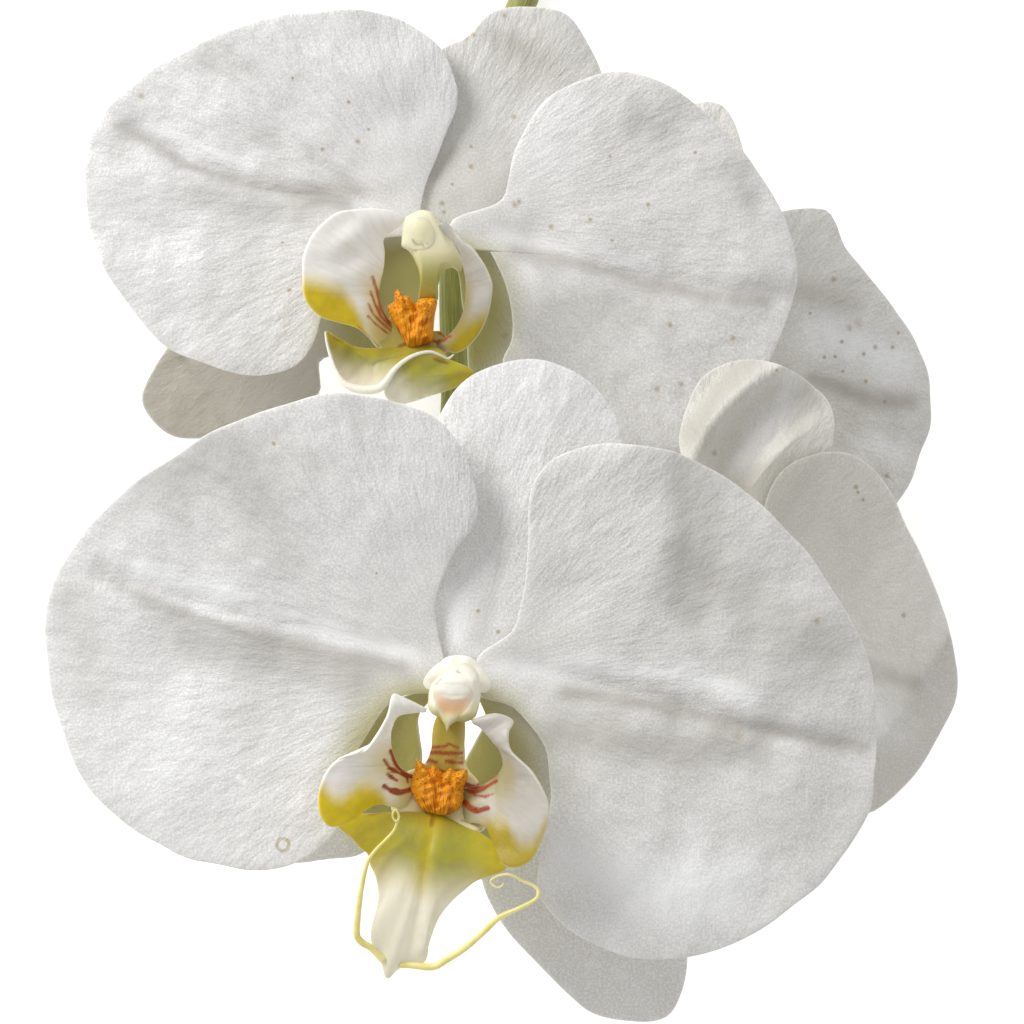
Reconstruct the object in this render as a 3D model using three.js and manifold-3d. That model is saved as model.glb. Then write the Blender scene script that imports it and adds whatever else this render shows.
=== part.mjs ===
// Moth orchid stem, cut and laid down: one arching stem with four open blooms that face up.
// Millimetres, +Z up, +Y along the stem towards its cut end. Blooms a and b lie in front,
// c and d behind them on the right. A bloom's own sizes are measured from its centre.
import * as THREE from 'three';
import { mergeVertices } from 'three/addons/utils/BufferGeometryUtils.js';
import Module from 'manifold-3d';

const wasm = await Module();
wasm.setup();

// Middle of the whole plant's footprint, which becomes the origin on the surface.
const FOOTPRINT_MIDDLE = [0.5, 82.3];

// Thickness of petals and sepals, of the lip's lobes and of its claw.
const BLADE = 0.8;
const LOBE = 0.8;
const CLAW = 1.4;
// Petals lie above a bloom's middle plane and sepals below it, clear of each other.
const PETAL_LAYER = 0.6;
const SEPAL_LAYER = -0.6;
// Blades stay level this far from the bloom's centre, over the seat that carries them.
const SEAT_RADIUS = 3;
const SEAT_TOP = -1.35;
// Half width of a midrib's valley, and how far out from the seat the valley and the sideways
// bend take to set in.
const CREASE_WIDTH = 2.2;
const CREASE_START = 10;
const CUP_START = 4;

// Flower stalks, with the seat's radii at these depths under its top.
const STALK_RADIUS = 1.3;
const SEAT_DEPTHS = [3, 1.4, 0];
const SEAT_FLARE = [1.5, 2.2, 3.1];
// The stem's radius at its tip, among the blooms and at the cut end.
const TIP_RADIUS = 1.3;
const RACHIS_RADIUS = 2.1;
const CUT_RADIUS = 2.8;
// Share of the radius that the stem's middle stands above the surface, its underside being flat.
const STEM_SEAT = 0.9;
const CUT_SLANT = 0.6;
// The places, by Y, where the stem has its full radius behind the tip and starts to thicken again.
const RACHIS_START = 0;
const BASE_START = 60;
// The swelling at each node of the stem.
const NODE_SWELL = 0.35;
const NODE_LENGTH = 3;

// How finely bodies are faceted.
const TEPAL_RINGS = 4;
const TEPAL_SPLITS = 2;
const LOBE_RINGS = 2;
const LOBE_COLUMNS = 2;
const OVAL_STEPS = 8;
const STEM_STEPS = 32;
const STEM_SIDES = 8;
const COLUMN_SIDES = 10;
const HORN_SIDES = 6;
const TENDRIL_SIDES = 5;

const STEM_PATH = [
  [-6.6, -21], [-7.4, -8], [-8, 5], [-8.5, 20], [-8.7, 36], [-7.6, 49], [-5.4, 60],
  [-1.8, 69], [2, 77], [6, 90], [9, 115], [10.5, 150], [10, 190], [7, 235],
];
// Places along the stem, by Y, where a bract sits, and the side that it is on.
const BRACTS = [[-3, 1], [12, 1], [56, -1], [67, 1], [118, -1], [178, 1]];
// A bract's middle line as [out from the stem's side, along the stem, up], and its radii.
const BRACT_ROUTE = [[-1.1, 2, 0.4], [-0.1, -2, 0.6], [0.6, -6, 0.9]];
const BRACT_RADII = [0.7, 1.1, 0.3];

const TAU = 2 * Math.PI;
const colour = (hex, roughness) => ({ color: hex, roughness, metalness: 0 });
const FINISH = {
  tepal: colour(0xe9e9ea, 0.55),
  lip: colour(0xe6d98c, 0.5),
  callus: colour(0xe0902a, 0.45),
  column: colour(0xf2efe2, 0.45),
  cap: colour(0xf6f2ea, 0.4),
  stalk: colour(0xa8ad72, 0.55),
  stem: colour(0x6d7b3c, 0.6),
};

// A tepal: which way its midrib runs in degrees, how its middle rises and droops outwards and
// sideways, how deep its midrib valley is, the heart that its rings shrink to, and its outline.
const tepal = (turn, layer, rise, droop, cup, crease, heart, outline) => (
  { turn, layer, rise, droop, cup, crease, heart, outline }
);

// The hidden tepals' oval outline: where it starts and how wide it is there, and how far out its
// widest part lies and how full it is, as exponents.
const OVAL_ROOT = 3.3;
const OVAL_NECK = 1.2;
const OVAL_PEAK = 1.3;
const OVAL_FULLNESS = 0.8;

// An oval outline for a tepal that runs out to a reach and is widest beyond its middle.
function oval(turn, reach, width) {
  const direction = THREE.MathUtils.degToRad(turn);
  const points = [];
  for (let i = 0; i < 2 * OVAL_STEPS; i += 1) {
    const side = i < OVAL_STEPS ? -1 : 1;
    const along = (i < OVAL_STEPS ? i : 2 * OVAL_STEPS - i) / OVAL_STEPS;
    const eased = (1 - Math.cos(Math.PI * along)) / 2;
    const u = OVAL_ROOT + (reach - OVAL_ROOT) * eased;
    const bulge = Math.sin(Math.PI * eased ** OVAL_PEAK) ** OVAL_FULLNESS;
    const v = side * (OVAL_NECK * (1 - eased) + (width - OVAL_NECK) / 2 * bulge);
    points.push([
      u * Math.cos(direction) - v * Math.sin(direction),
      u * Math.sin(direction) + v * Math.cos(direction),
    ]);
  }
  return points;
}

const P = PETAL_LAYER;
const S = SEPAL_LAYER;

const TEPALS_A = {
  petal_left: tepal(175, P, 0.05, -0.0022, -0.0014, 0.8, [-29, 8], [
    [-2.5, 1.5], [-3.5, 10], [-0.5, 17.5], [2, 20.5], [2.5, 24.5], [-0.5, 32.5],
    [-4, 36], [-16, 39], [-24, 37.5], [-35.5, 33], [-51.5, 21], [-56.5, 13], [-58, 4.5],
    [-53, -13.5], [-44.5, -22], [-29, -27], [-22, -25.5], [-16.5, -20.5], [-15.5, -13],
    [-9, -3.5], [-4, -2],
  ]),
  petal_right: tepal(-7.5, P, 0.03, -0.0018, -0.0011, 0.8, [32, -4], [
    [3.5, 1.5], [7, 6], [9, 12], [9.5, 20], [10, 26.5], [14, 30.5], [22, 32], [32, 30],
    [45.5, 20], [57, 2], [58, -8], [57, -19], [46, -32.5], [31.5, -39], [18, -37],
    [11, -30], [12.5, -17.5], [12, -11], [9.5, -6.5], [5.5, -2.5],
  ]),
  dorsal_sepal: tepal(76.5, S, -0.06, -0.0015, -0.004, 0, [8, 24], [
    [-2, 3], [-4.5, 12], [-5, 24.5], [-3.5, 35], [-1, 39.5], [4, 43], [9.5, 44], [15.5, 42.5],
    [20.5, 38], [22.5, 31.5], [20, 21.5], [14.5, 12.5], [3.5, 3],
  ]),
  sepal_left: tepal(220, S, -0.1, -0.004, -0.004, 0.3, [-19, -14], [
    [-3, -2], [-9, -3.5], [-17, -8.5], [-25.5, -15.5], [-31, -21.5], [-31, -25],
    [-27, -26.5], [-21, -26.5], [-13.5, -25], [-8.5, -19.5], [-5.5, -12], [-5.5, -5.5],
  ]),
  sepal_right: tepal(-60, S, -0.08, -0.0025, -0.004, 0.3, [19.5, -25], [
    [2.3, -2.4], [8.5, -3.5], [15.5, -10.5], [29.5, -32], [32, -40.5], [29.5, -48.5],
    [24, -49.5], [18, -48], [12.5, -42.5], [5.5, -34.5], [3, -29], [0.5, -13], [3.7, -6.3],
  ]),
};

const TEPALS_B = {
  petal_left: tepal(166, P, 0.05, -0.002, -0.0016, 0.8, [-25, 3], [
    [-3.5, 1], [-1.5, 8], [1.5, 12], [3, 17], [0.5, 23.5], [-5.5, 28], [-14, 29],
    [-24.5, 28], [-38.5, 22], [-47.5, 15], [-50.5, 7], [-48, -7], [-38.5, -19],
    [-27, -23], [-22, -22.5], [-17.5, -18.5], [-16, -11], [-13, -4], [-7.5, 0],
  ]),
  petal_right: tepal(-11.8, P, 0.02, -0.0012, -0.0008, 0.8, [29, -7], [
    [3.5, -1], [9, 2], [11, 9], [16, 16.5], [23.5, 20], [30, 19.5], [38.5, 14.5],
    [49.5, 0], [51.5, -9.5], [47.5, -21], [37.5, -32.5], [30.5, -34], [17.5, -32.5],
    [9.5, -21], [10.5, -18.5], [10, -10.5], [7, -5],
  ]),
  dorsal_sepal: tepal(66.7, S, -0.06, -0.001, -0.004, 0, [9, 15], [
    [-2, 2.5], [-3.5, 5.5], [-2, 18], [0.5, 23.5], [4, 25.5], [7.5, 29], [12.5, 30], [18.5, 29],
    [23.5, 20.5], [23, 14.5], [14.5, 3.5], [9, 1.5], [3, 2.5],
  ]),
  sepal_left: tepal(211.4, S, -0.46, -0.0052, -0.002, 0.3, [-22, -17], [
    [-3.5, -2], [-12.5, -5], [-27.5, -11.5], [-38.5, -15.5], [-44.5, -25], [-43.5, -28.5],
    [-39, -31.5], [-26.5, -30], [-17.5, -25], [-17.5, -20.5], [-5.5, -18.5], [-1, -15],
    [0, -9.5], [-1, -3.5],
  ]),
  sepal_right: tepal(-70, S, -0.2, -0.003, -0.004, 0.3, [9, -18], [
    [1, -2.9], [6, -3.5], [12, -12], [14, -20.5], [13.5, -29.5], [8.5, -29.5],
    [5, -25.5], [4.5, -22], [4, -16.5], [3.5, -12], [3, -8.5],
  ]),
};

const TEPALS_C = {
  petal_left: tepal(172, P, -0.05, -0.008, -0.002, 0, [-15, 2], oval(172, 27, 30)),
  petal_right: tepal(-4, P, -0.24, -0.0042, -0.0012, 0.6, [21, 3], [
    [2.5, 1], [3.5, 13], [9, 23.5], [15.5, 27.5], [22, 28], [24.5, 23], [30, 16.5],
    [36.5, 7], [38, -2], [33.5, -14.5], [27, -19.5], [15, -18], [5, -8.5], [2.5, -1.5],
  ]),
  dorsal_sepal: tepal(83, S, -0.12, -0.003, -0.003, 0, [2, 25], [
    [-1.5, 2], [-6.5, 13], [-8, 26.5], [-4.5, 38], [0, 43], [4, 44.5], [7, 43.5],
    [9.5, 38], [10.5, 33], [10.5, 23.5], [6.5, 11.5], [2, 2.5],
  ]),
  sepal_left: tepal(-135, S, -0.22, -0.006, -0.004, 0, [-13, -13], oval(-135, 33, 18)),
  sepal_right: tepal(-52, S, -0.3, -0.006, -0.004, 0, [11, -14], oval(-52, 33, 18)),
};

// Bloom d's left petal is folded along an arc, with its far margin turned up.
const FOLD_CENTRE = [15.8, 5.8];
const FOLD_RADIUS = 23.8;
const MARGIN_RADIUS = 13.5;
const FOLD_HEIGHT = 5.5;
const FOLD_WIDTH = 2.4;
const MARGIN_HEIGHT = 3;
const MARGIN_WIDTH = 2.2;
const FOLDED_LIFT = 7.5;
const FOLDED_REACH = 14;

const TEPALS_D = {
  petal_left: tepal(100, P, 0, 0, 0, 0, [-1.5, 17], [
    [-2.2, 2.8], [-5.9, 11.4], [-8.1, 15], [-8.3, 18.5], [-5.4, 25.6], [0.9, 28.4],
    [8.6, 26.3], [11.7, 23.2], [12.1, 21.1], [7.9, 16.6], [3.8, 12.8], [1.7, 9.6],
    [1.1, 6], [0.4, 3.2],
  ]),
  petal_right: tepal(-31, P, -0.42, -0.013, -0.003, 0.6, [18, -10], [
    [3, 1], [3.5, 4.5], [5, 10], [7.5, 13.5], [10.5, 15], [15.5, 15.5], [21, 12.5],
    [25.5, 5], [32.5, -8.5], [34, -14.5], [34, -22], [26.5, -34], [21.5, -38], [14, -36],
    [6, -20.5], [2.2, -2.6],
  ]),
  dorsal_sepal: tepal(58, S, -0.12, -0.001, -0.004, 0, [8, 14], [
    [0.5, 3], [-0.5, 9], [1.5, 17], [6, 23.5], [11, 25], [13.5, 23], [14.5, 20.5],
    [14.3, 18], [13.8, 15.5], [11.5, 11.5], [7.5, 7], [2.5, 2.2],
  ]),
  sepal_left: tepal(-150, S, -0.15, -0.004, -0.004, 0, [-16, -9], oval(-150, 33, 18)),
  sepal_right: tepal(-80, S, -0.62, -0.006, -0.004, 0, [4, -18], oval(-80, 33, 18)),
};

// A lip with a claw, a middle lobe and two tendrils as outlines or routes of [x, y, z], and
// two side lobes, each between an outer and an inner edge of matching points.
const LIP_A = {
  claw: {
    heart: [-3, -17, 5.4],
    outline: [
      [-2, -6.3, 4.8], [-0.4, -6.3, 4.8], [0.2, -9.5, 4.6], [0.9, -12.4, 4.8],
      [2.8, -14.8, 5.2], [3.6, -17.8, 5.8], [3.4, -21, 6.6], [-3.4, -21.6, 6.2],
      [-6.8, -20.8, 6.2], [-9.3, -18.6, 6.4], [-9, -16.1, 5.8], [-7.6, -13.4, 5.2],
      [-4.9, -12.1, 4.8], [-3.7, -9.6, 4.6],
    ],
  },
  midlobe: {
    heart: [-6, -25, 9],
    outline: [
      [-16.3, -20.6, 9], [-12.9, -19.2, 7.6], [-9, -18.7, 6.6], [-4.7, -18.3, 6],
      [-0.6, -18.9, 6], [2.8, -21, 6.6], [6.1, -25.8, 9], [2.3, -27.7, 8.5],
      [-1.1, -30.8, 8.5], [-2.9, -33.2, 8.5], [-4.4, -37.6, 7.5], [-4.7, -39.1, 7],
      [-8.3, -40.2, 6.2], [-10, -41.6, 6], [-10.8, -39.3, 6.6], [-12.2, -35.6, 8],
      [-11.1, -30.2, 8.5], [-12.1, -25.6, 8.5], [-13.9, -22.9, 8.8],
    ],
  },
  left_lobe: {
    outer: [
      [-4.4, -4.3, 9], [-7.8, -2.6, 10.5], [-9, -2.2, 11], [-9.9, -5.3, 12],
      [-11.8, -7.7, 12.5], [-16.8, -11.2, 13.5], [-19.2, -15.7, 14], [-19.1, -18.1, 14],
      [-17.6, -20.3, 13], [-13.1, -18.3, 9.8], [-10.5, -17.7, 8], [-7.4, -17.8, 6.1],
    ],
    inner: [
      [-4.6, -4.8, 9.1], [-7.3, -5, 9.9], [-8.3, -5.3, 10], [-8.8, -5.8, 9.8],
      [-9.3, -7, 9.3], [-9.4, -8.2, 8.8], [-9.4, -9.3, 8.2], [-9.1, -10.4, 7.7],
      [-8.8, -11.4, 7.2], [-7.9, -12.7, 6.2], [-7, -13.3, 5.8], [-5.4, -13.4, 5],
    ],
  },
  right_lobe: {
    outer: [
      [1.6, -5.8, 9], [5.2, -4.9, 10.4], [7.4, -5.9, 11], [6.8, -7.4, 12], [7, -9.7, 12.5],
      [10.1, -12.9, 14], [12.1, -16.9, 15], [12, -19.1, 15], [10.5, -23.1, 14],
      [8.2, -25.9, 12.6], [5.6, -23.5, 10.6], [2.8, -20.7, 7.4], [0.2, -19.5, 5.9],
    ],
    inner: [
      [1.8, -6.3, 9.1], [2.7, -6.8, 9.4], [3.3, -7.4, 9.5], [3.9, -8, 9.5],
      [4.6, -8.7, 9.4], [5.3, -9.5, 9.2], [5.7, -10.6, 8.7], [6, -11.6, 8.2],
      [5.7, -12.7, 7.7], [5.2, -13.6, 7.2], [4.2, -14.3, 6.7], [3.2, -14.9, 6.2],
      [0.2, -15.1, 5.2],
    ],
  },
  tendrils: [
    [
      [-10.6, -36.6, 7.6], [-13.5, -36.3, 8.2], [-14, -34.7, 8.8], [-13.8, -32.2, 9.4],
      [-13, -27.3, 10.4], [-12.4, -25, 10.8], [-11, -23, 11], [-9.5, -21.5, 11],
      [-8.5, -19.4, 11.4], [-8.8, -18.1, 12],
    ],
    [
      [-6.6, -38.8, 6.9], [-4.3, -39.8, 7.4], [-2.5, -38.9, 8], [0, -37, 9],
      [5.6, -32.4, 11], [9.5, -30.4, 11.2], [10.8, -29, 11], [9.7, -28.1, 10.6],
      [5.7, -26.9, 10.4], [4.5, -27.6, 10.6], [5.2, -28.4, 10.8],
    ],
  ],
  callus: [-2.7, -15, 7.6],
};

const LIP_B = {
  claw: {
    heart: [-3.2, -17.5, 5.6],
    outline: [
      [-2.8, -5.6, 4.3], [-0.8, -5.6, 4.3], [-0.6, -9.7, 4.6], [-0.6, -17.1, 5.2],
      [1.4, -17.7, 5.6], [1.1, -20.5, 6.2], [-2.3, -21.1, 6.4], [-5.8, -20.8, 6.4],
      [-8.2, -19.1, 6.2], [-8, -16.3, 5.6], [-6, -13.4, 5], [-3.3, -11.4, 4.6],
      [-2.9, -8, 4.6],
    ],
  },
  midlobe: {
    heart: [-5, -22.5, 9.6],
    outline: [
      [-15.7, -17.1, 11], [-12.7, -18.4, 8.4], [-9.1, -19.3, 6.8], [-5.1, -18.7, 6],
      [-0.6, -18.7, 6], [2.8, -20.1, 7], [5.2, -22.9, 9.5], [3.4, -24.8, 10.2],
      [0.6, -25.8, 11], [-2.2, -27.2, 12], [-4.6, -27.5, 12.4], [-6.9, -26.8, 12.5],
      [-9.9, -26.4, 12.5], [-12.4, -25.1, 12.2], [-14, -22.7, 11.8], [-15, -19.9, 11.4],
    ],
  },
  left_lobe: {
    outer: [
      [-7.1, -0.9, 8.8], [-7.6, -0.2, 9.6], [-9.4, -0.1, 11], [-13.7, -0.6, 12.5],
      [-17.5, -4.2, 13.6], [-18.4, -6.4, 14], [-18.5, -11.3, 14], [-17.8, -13.7, 13.4],
      [-16.2, -15.1, 12], [-12.7, -16.4, 9.4], [-8.4, -18.7, 6.4], [-5.8, -18.2, 5.4],
    ],
    inner: [
      [-7.1, -1.6, 8.8], [-7.2, -2.2, 8.8], [-7.3, -3.1, 8.8], [-7.4, -4, 8.8],
      [-7.5, -4.8, 8.8], [-7.2, -6.1, 8.4], [-7.5, -8.4, 7.8], [-7.8, -10, 7.3],
      [-7.9, -11.5, 6.8], [-7.5, -13.9, 6], [-6.4, -15.4, 5.4], [-4.8, -15.8, 5],
    ],
  },
  right_lobe: {
    outer: [
      [1.2, -2.6, 8.8], [2.2, -2.8, 9.4], [3.6, -4.1, 10.6], [5.4, -5.7, 12],
      [6.8, -8.2, 13], [7.8, -10.9, 13.8], [7.8, -13.4, 13.6], [6.9, -15.7, 12.6],
      [5.8, -18, 11], [4.7, -19.5, 9.8], [3.1, -20.3, 8.4], [1.2, -20.4, 6.8],
      [-1, -19.8, 5.6],
    ],
    inner: [
      [1.2, -3.4, 8.8], [1.8, -4.1, 9], [2.6, -5.2, 9.4], [3.3, -6.3, 9.8],
      [3.9, -8.6, 10], [4.1, -10.1, 10], [4.1, -12.6, 9.6], [3.8, -14.9, 9],
      [3, -16.6, 8], [1.8, -17.4, 6.8], [0.9, -17.6, 6.1], [0.3, -17.8, 5.7],
      [-1.4, -18, 5.1],
    ],
  },
  tendrils: [],
  callus: [-3.7, -14.7, 7.6],
};

// The column's middle line and radii, from the bloom's centre out to the flat face of its cap.
const COLUMN_RADII = [2, 2.2, 3, 3.4, 3.1, 2.2];
const COLUMN_A = [
  [0, 0, -0.9], [0, 0, 1.2], [-0.2, 0.2, 4], [-0.7, -2.4, 7], [-1, -3.8, 8.4], [-1.3, -5, 9.4],
];
const COLUMN_B = [
  [0, 0, -0.9], [0, 0, 1.2], [-1, 0, 4], [-2.6, -2, 7], [-2.9, -3.2, 8.4],
  [-3.1, -4.4, 9.4],
];
// A small bloom's column is this much thicker than its scale, but never thicker than a large one.
const COLUMN_STOUTNESS = 1.1;
const CAP_RADII = [2.1, 2, 1.4, 0.5];
const CAP_STEPS = [0.3, 0.9, 1.6, 2];

// The callus: its humps as [x, y, z, half width, half length, half height] and its horns' line.
const CALLUS_HUMPS = [
  [-1.5, 0, 0, 1.9, 3, 1.3],
  [1.5, 0, 0, 1.9, 3, 1.3],
  [0, -2.3, 0.4, 2.3, 1.7, 1.2],
];
const HORN_ROUTE = [[1.8, 1, 0], [2.6, 2.6, 0.9], [3, 3.6, 1.6]];
const HORN_RADII = [1, 0.8, 0.35];
const HUMP_FACETS = [7, 5];
const TENDRIL_RADII = [0.42, 0.38, 0.34];

// Where each bloom's centre stands, and how its lip and column are turned, scaled and deepened.
const BLOOMS = [
  {
    name: 'a', centre: [-7.2, -22.6, 46], tepals: TEPALS_A, lip: LIP_A, column: COLUMN_A,
    turn: 0, scale: 1, depth: 1,
    stalk: [[-7.3, -3.2, 5.1], [-7.2, -8, 10], [-7.2, -14, 19], [-7.2, -19, 30]],
  },
  {
    name: 'b', centre: [-10.7, 42.6, 28], tepals: TEPALS_B, lip: LIP_B, column: COLUMN_B,
    turn: 0, scale: 1, depth: 1,
    stalk: [[-6.2, 58, 5.3], [-7, 55.6, 9], [-8.6, 50.5, 14.5], [-10, 45.5, 20]],
  },
  {
    name: 'c', centre: [24.6, 16.7, 13], tepals: TEPALS_C, lip: LIP_A, column: COLUMN_A,
    turn: -7, scale: 0.62, depth: 0.6,
    stalk: [[1.9, 66.2, 3.2], [6, 61, 3.2], [15, 45, 3], [21.5, 29, 3.6], [24, 19.5, 6]],
  },
  {
    name: 'd', centre: [32, -6.9, 26], tepals: TEPALS_D, lip: LIP_A, column: COLUMN_A,
    turn: -30, scale: 0.85, depth: 0.85,
    stalk: [[-3.9, 7.6, 3.9], [0.2, 0.5, 6], [8, -9, 9.5], [20, -12, 12.5], [29, -9.5, 17]],
  },
];

const vector = ([x, y, z]) => new THREE.Vector3(x, y, z ?? 0);

// A closed body from a middle surface, moved half the thickness to both sides. Points that lie
// at the resting level are moved straight up and down, so that the blade has a flat spot there.
function thicken(points, triangles, thickness, restingLevel = -Infinity) {
  const normals = points.map(() => new THREE.Vector3());
  const edges = new Set();
  const normal = new THREE.Vector3();
  const side = new THREE.Vector3();
  let upward = 0;
  for (const [a, b, c] of triangles) {
    side.subVectors(points[c], points[a]);
    normal.subVectors(points[b], points[a]).cross(side);
    upward += normal.z;
    for (const corner of [a, b, c]) normals[corner].add(normal);
  }
  const faces = upward > 0 ? triangles : triangles.map(([a, b, c]) => [a, c, b]);
  if (upward < 0) normals.forEach((n) => n.negate());
  for (const [a, b, c] of faces) {
    for (const edge of [[a, b], [b, c], [c, a]]) edges.add(edge.join());
  }
  const count = points.length;
  const positions = [];
  for (const half of [thickness / 2, -thickness / 2]) {
    points.forEach((point, i) => {
      const unit = normals[i].clone().normalize();
      if (point.z <= restingLevel) unit.set(0, 0, 1);
      positions.push(...point.clone().addScaledVector(unit, half).toArray());
    });
  }
  const index = [];
  for (const [a, b, c] of faces) {
    index.push(a, b, c, a + count, c + count, b + count);
    for (const [from, to] of [[a, b], [b, c], [c, a]]) {
      if (!edges.has([to, from].join())) {
        index.push(to, from, from + count, to, from + count, to + count);
      }
    }
  }
  const geometry = new THREE.BufferGeometry();
  geometry.setAttribute('position', new THREE.Float32BufferAttribute(positions, 3));
  geometry.setIndex(index);
  return geometry;
}

// Points of a closed smooth line through the outline, split evenly between its own points.
function smoothLoop(outline, splits) {
  const curve = new THREE.CatmullRomCurve3(outline.map(vector), true, 'centripetal');
  const count = outline.length * splits;
  return Array.from({ length: count }, (_, i) => curve.getPoint(i / count));
}

// Rings that shrink from a loop to its heart, each point set to the height that is asked for.
function rings(loop, heart, count, height) {
  const points = [vector(heart)];
  const triangles = [];
  const n = loop.length;
  for (let k = 1; k <= count; k += 1) {
    for (const edge of loop) points.push(vector(heart).lerp(edge, k / count));
  }
  points.forEach((point) => { point.z = height(point); });
  for (let i = 0; i < n; i += 1) {
    const next = (i + 1) % n;
    triangles.push([0, 1 + i, 1 + next]);
    for (let k = 1; k < count; k += 1) {
      const inner = 1 + (k - 1) * n;
      const outer = inner + n;
      triangles.push([inner + i, outer + i, outer + next]);
      triangles.push([inner + i, outer + next, inner + next]);
    }
  }
  return { points, triangles };
}

const smooth = (x) => THREE.MathUtils.smoothstep(x, 0, 1);
const bell = (x, width) => Math.exp(-((x / width) ** 2));

// The height of a tepal's middle surface over its bloom's middle plane.
function tepalHeight(shape, x, y) {
  const direction = THREE.MathUtils.degToRad(shape.turn);
  const along = x * Math.cos(direction) + y * Math.sin(direction);
  const across = y * Math.cos(direction) - x * Math.sin(direction);
  const out = Math.max(along - SEAT_RADIUS, 0);
  const spread = Math.max(Math.hypot(x, y) - SEAT_RADIUS, 0);
  const valley = shape.crease * bell(across, CREASE_WIDTH) * smooth(out / CREASE_START);
  const bend = shape.rise * out + shape.droop * out * out;
  return shape.layer + bend + shape.cup * across * across * smooth(spread / CUP_START) - valley;
}

// The folded petal of bloom d rises from the centre and has a ridge and a raised margin.
function foldedHeight(x, y) {
  const reach = smooth(Math.hypot(x, y) / FOLDED_REACH);
  const q = Math.hypot(x - FOLD_CENTRE[0], y - FOLD_CENTRE[1]);
  const ridge = FOLD_HEIGHT * bell(q - FOLD_RADIUS, FOLD_WIDTH);
  const margin = MARGIN_HEIGHT * bell(q - MARGIN_RADIUS, MARGIN_WIDTH);
  return PETAL_LAYER + (FOLDED_LIFT + ridge + margin) * reach;
}

// A tepal as a thin waved blade, never lower than the surface that the plant lies on.
function tepalGeometry(bloom, name, shape) {
  const floor = BLADE / 2 - bloom.centre[2];
  const folded = bloom.name === 'd' && name === 'petal_left';
  const height = ({ x, y }) => Math.max(
    folded ? foldedHeight(x, y) : tepalHeight(shape, x, y),
    floor,
  );
  const loop = smoothLoop(shape.outline, TEPAL_SPLITS);
  const { points, triangles } = rings(loop, shape.heart, TEPAL_RINGS, height);
  return thicken(points, triangles, BLADE, floor);
}

// A body of round sections along a smooth line through the given points, flat where it would
// reach under the floor, and with its last section cut at a slant.
function sweep(route, radii, sides, stepsPerSpan = 1, floor = -Infinity, slant = 0) {
  const curve = new THREE.CatmullRomCurve3(route.map(vector), false, 'centripetal');
  const steps = (route.length - 1) * stepsPerSpan;
  const positions = [];
  const index = [];
  const tangent = new THREE.Vector3();
  const across = new THREE.Vector3();
  const up = new THREE.Vector3();
  const reference = new THREE.Vector3(1, 0, 0);
  for (let k = 0; k <= steps; k += 1) {
    const t = k / steps;
    const centre = curve.getPoint(t);
    curve.getTangent(t, tangent);
    across.copy(reference).addScaledVector(tangent, -reference.dot(tangent)).normalize();
    reference.copy(across);
    up.crossVectors(tangent, across);
    const place = t * (radii.length - 1);
    const low = Math.min(Math.floor(place), radii.length - 2);
    const radius = THREE.MathUtils.lerp(radii[low], radii[low + 1], place - low);
    for (let i = 0; i < sides; i += 1) {
      const angle = TAU * (i + 0.5) / sides;
      const point = centre.clone()
        .addScaledVector(across, radius * Math.cos(angle))
        .addScaledVector(up, radius * Math.sin(angle));
      if (k === steps) point.addScaledVector(tangent, slant * radius * Math.cos(angle));
      positions.push(point.x, point.y, Math.max(point.z, floor));
    }
  }
  for (let k = 0; k < steps; k += 1) {
    for (let i = 0; i < sides; i += 1) {
      const a = k * sides + i;
      const b = k * sides + (i + 1) % sides;
      index.push(a, b, a + sides, b, b + sides, a + sides);
    }
  }
  for (let i = 1; i < sides - 1; i += 1) {
    const last = steps * sides;
    index.push(0, i + 1, i, last, last + i, last + i + 1);
  }
  const geometry = new THREE.BufferGeometry();
  geometry.setAttribute('position', new THREE.Float32BufferAttribute(positions, 3));
  geometry.setIndex(index);
  return geometry;
}

// A side lobe, a blade between its two edges.
function ribbonGeometry({ outer, inner }, place) {
  const points = [];
  const triangles = [];
  outer.forEach((edge, i) => {
    for (let j = 0; j <= LOBE_COLUMNS; j += 1) {
      points.push(place(vector(edge).lerp(vector(inner[i]), j / LOBE_COLUMNS).toArray()));
    }
  });
  const row = LOBE_COLUMNS + 1;
  for (let i = 0; i < outer.length - 1; i += 1) {
    for (let j = 0; j < LOBE_COLUMNS; j += 1) {
      const a = i * row + j;
      triangles.push([a, a + row, a + row + 1], [a, a + row + 1, a + 1]);
    }
  }
  return thicken(points, triangles, LOBE);
}

// A lobe from an outline that has heights of its own.
function lobeGeometry({ heart, outline }, thickness, place) {
  const middle = place(heart).toArray();
  const { points, triangles } = rings(outline.map(place), middle, LOBE_RINGS, ({ z }) => z);
  return thicken(points, triangles, thickness);
}

// The closed solid of a geometry, and the geometry of a solid.
function solid(geometry) {
  const bare = geometry.clone();
  bare.deleteAttribute('normal');
  bare.deleteAttribute('uv');
  const merged = mergeVertices(bare, 1e-4);
  const mesh = new wasm.Mesh({
    numProp: 3,
    vertProperties: merged.attributes.position.array,
    triVerts: Uint32Array.from(merged.index.array),
  });
  return new wasm.Manifold(mesh);
}

function fused(geometries) {
  const mesh = geometries.map(solid).reduce((whole, piece) => whole.add(piece)).getMesh();
  const geometry = new THREE.BufferGeometry();
  geometry.setAttribute('position', new THREE.Float32BufferAttribute(mesh.vertProperties, 3));
  geometry.setIndex([...mesh.triVerts]);
  return geometry;
}

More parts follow.
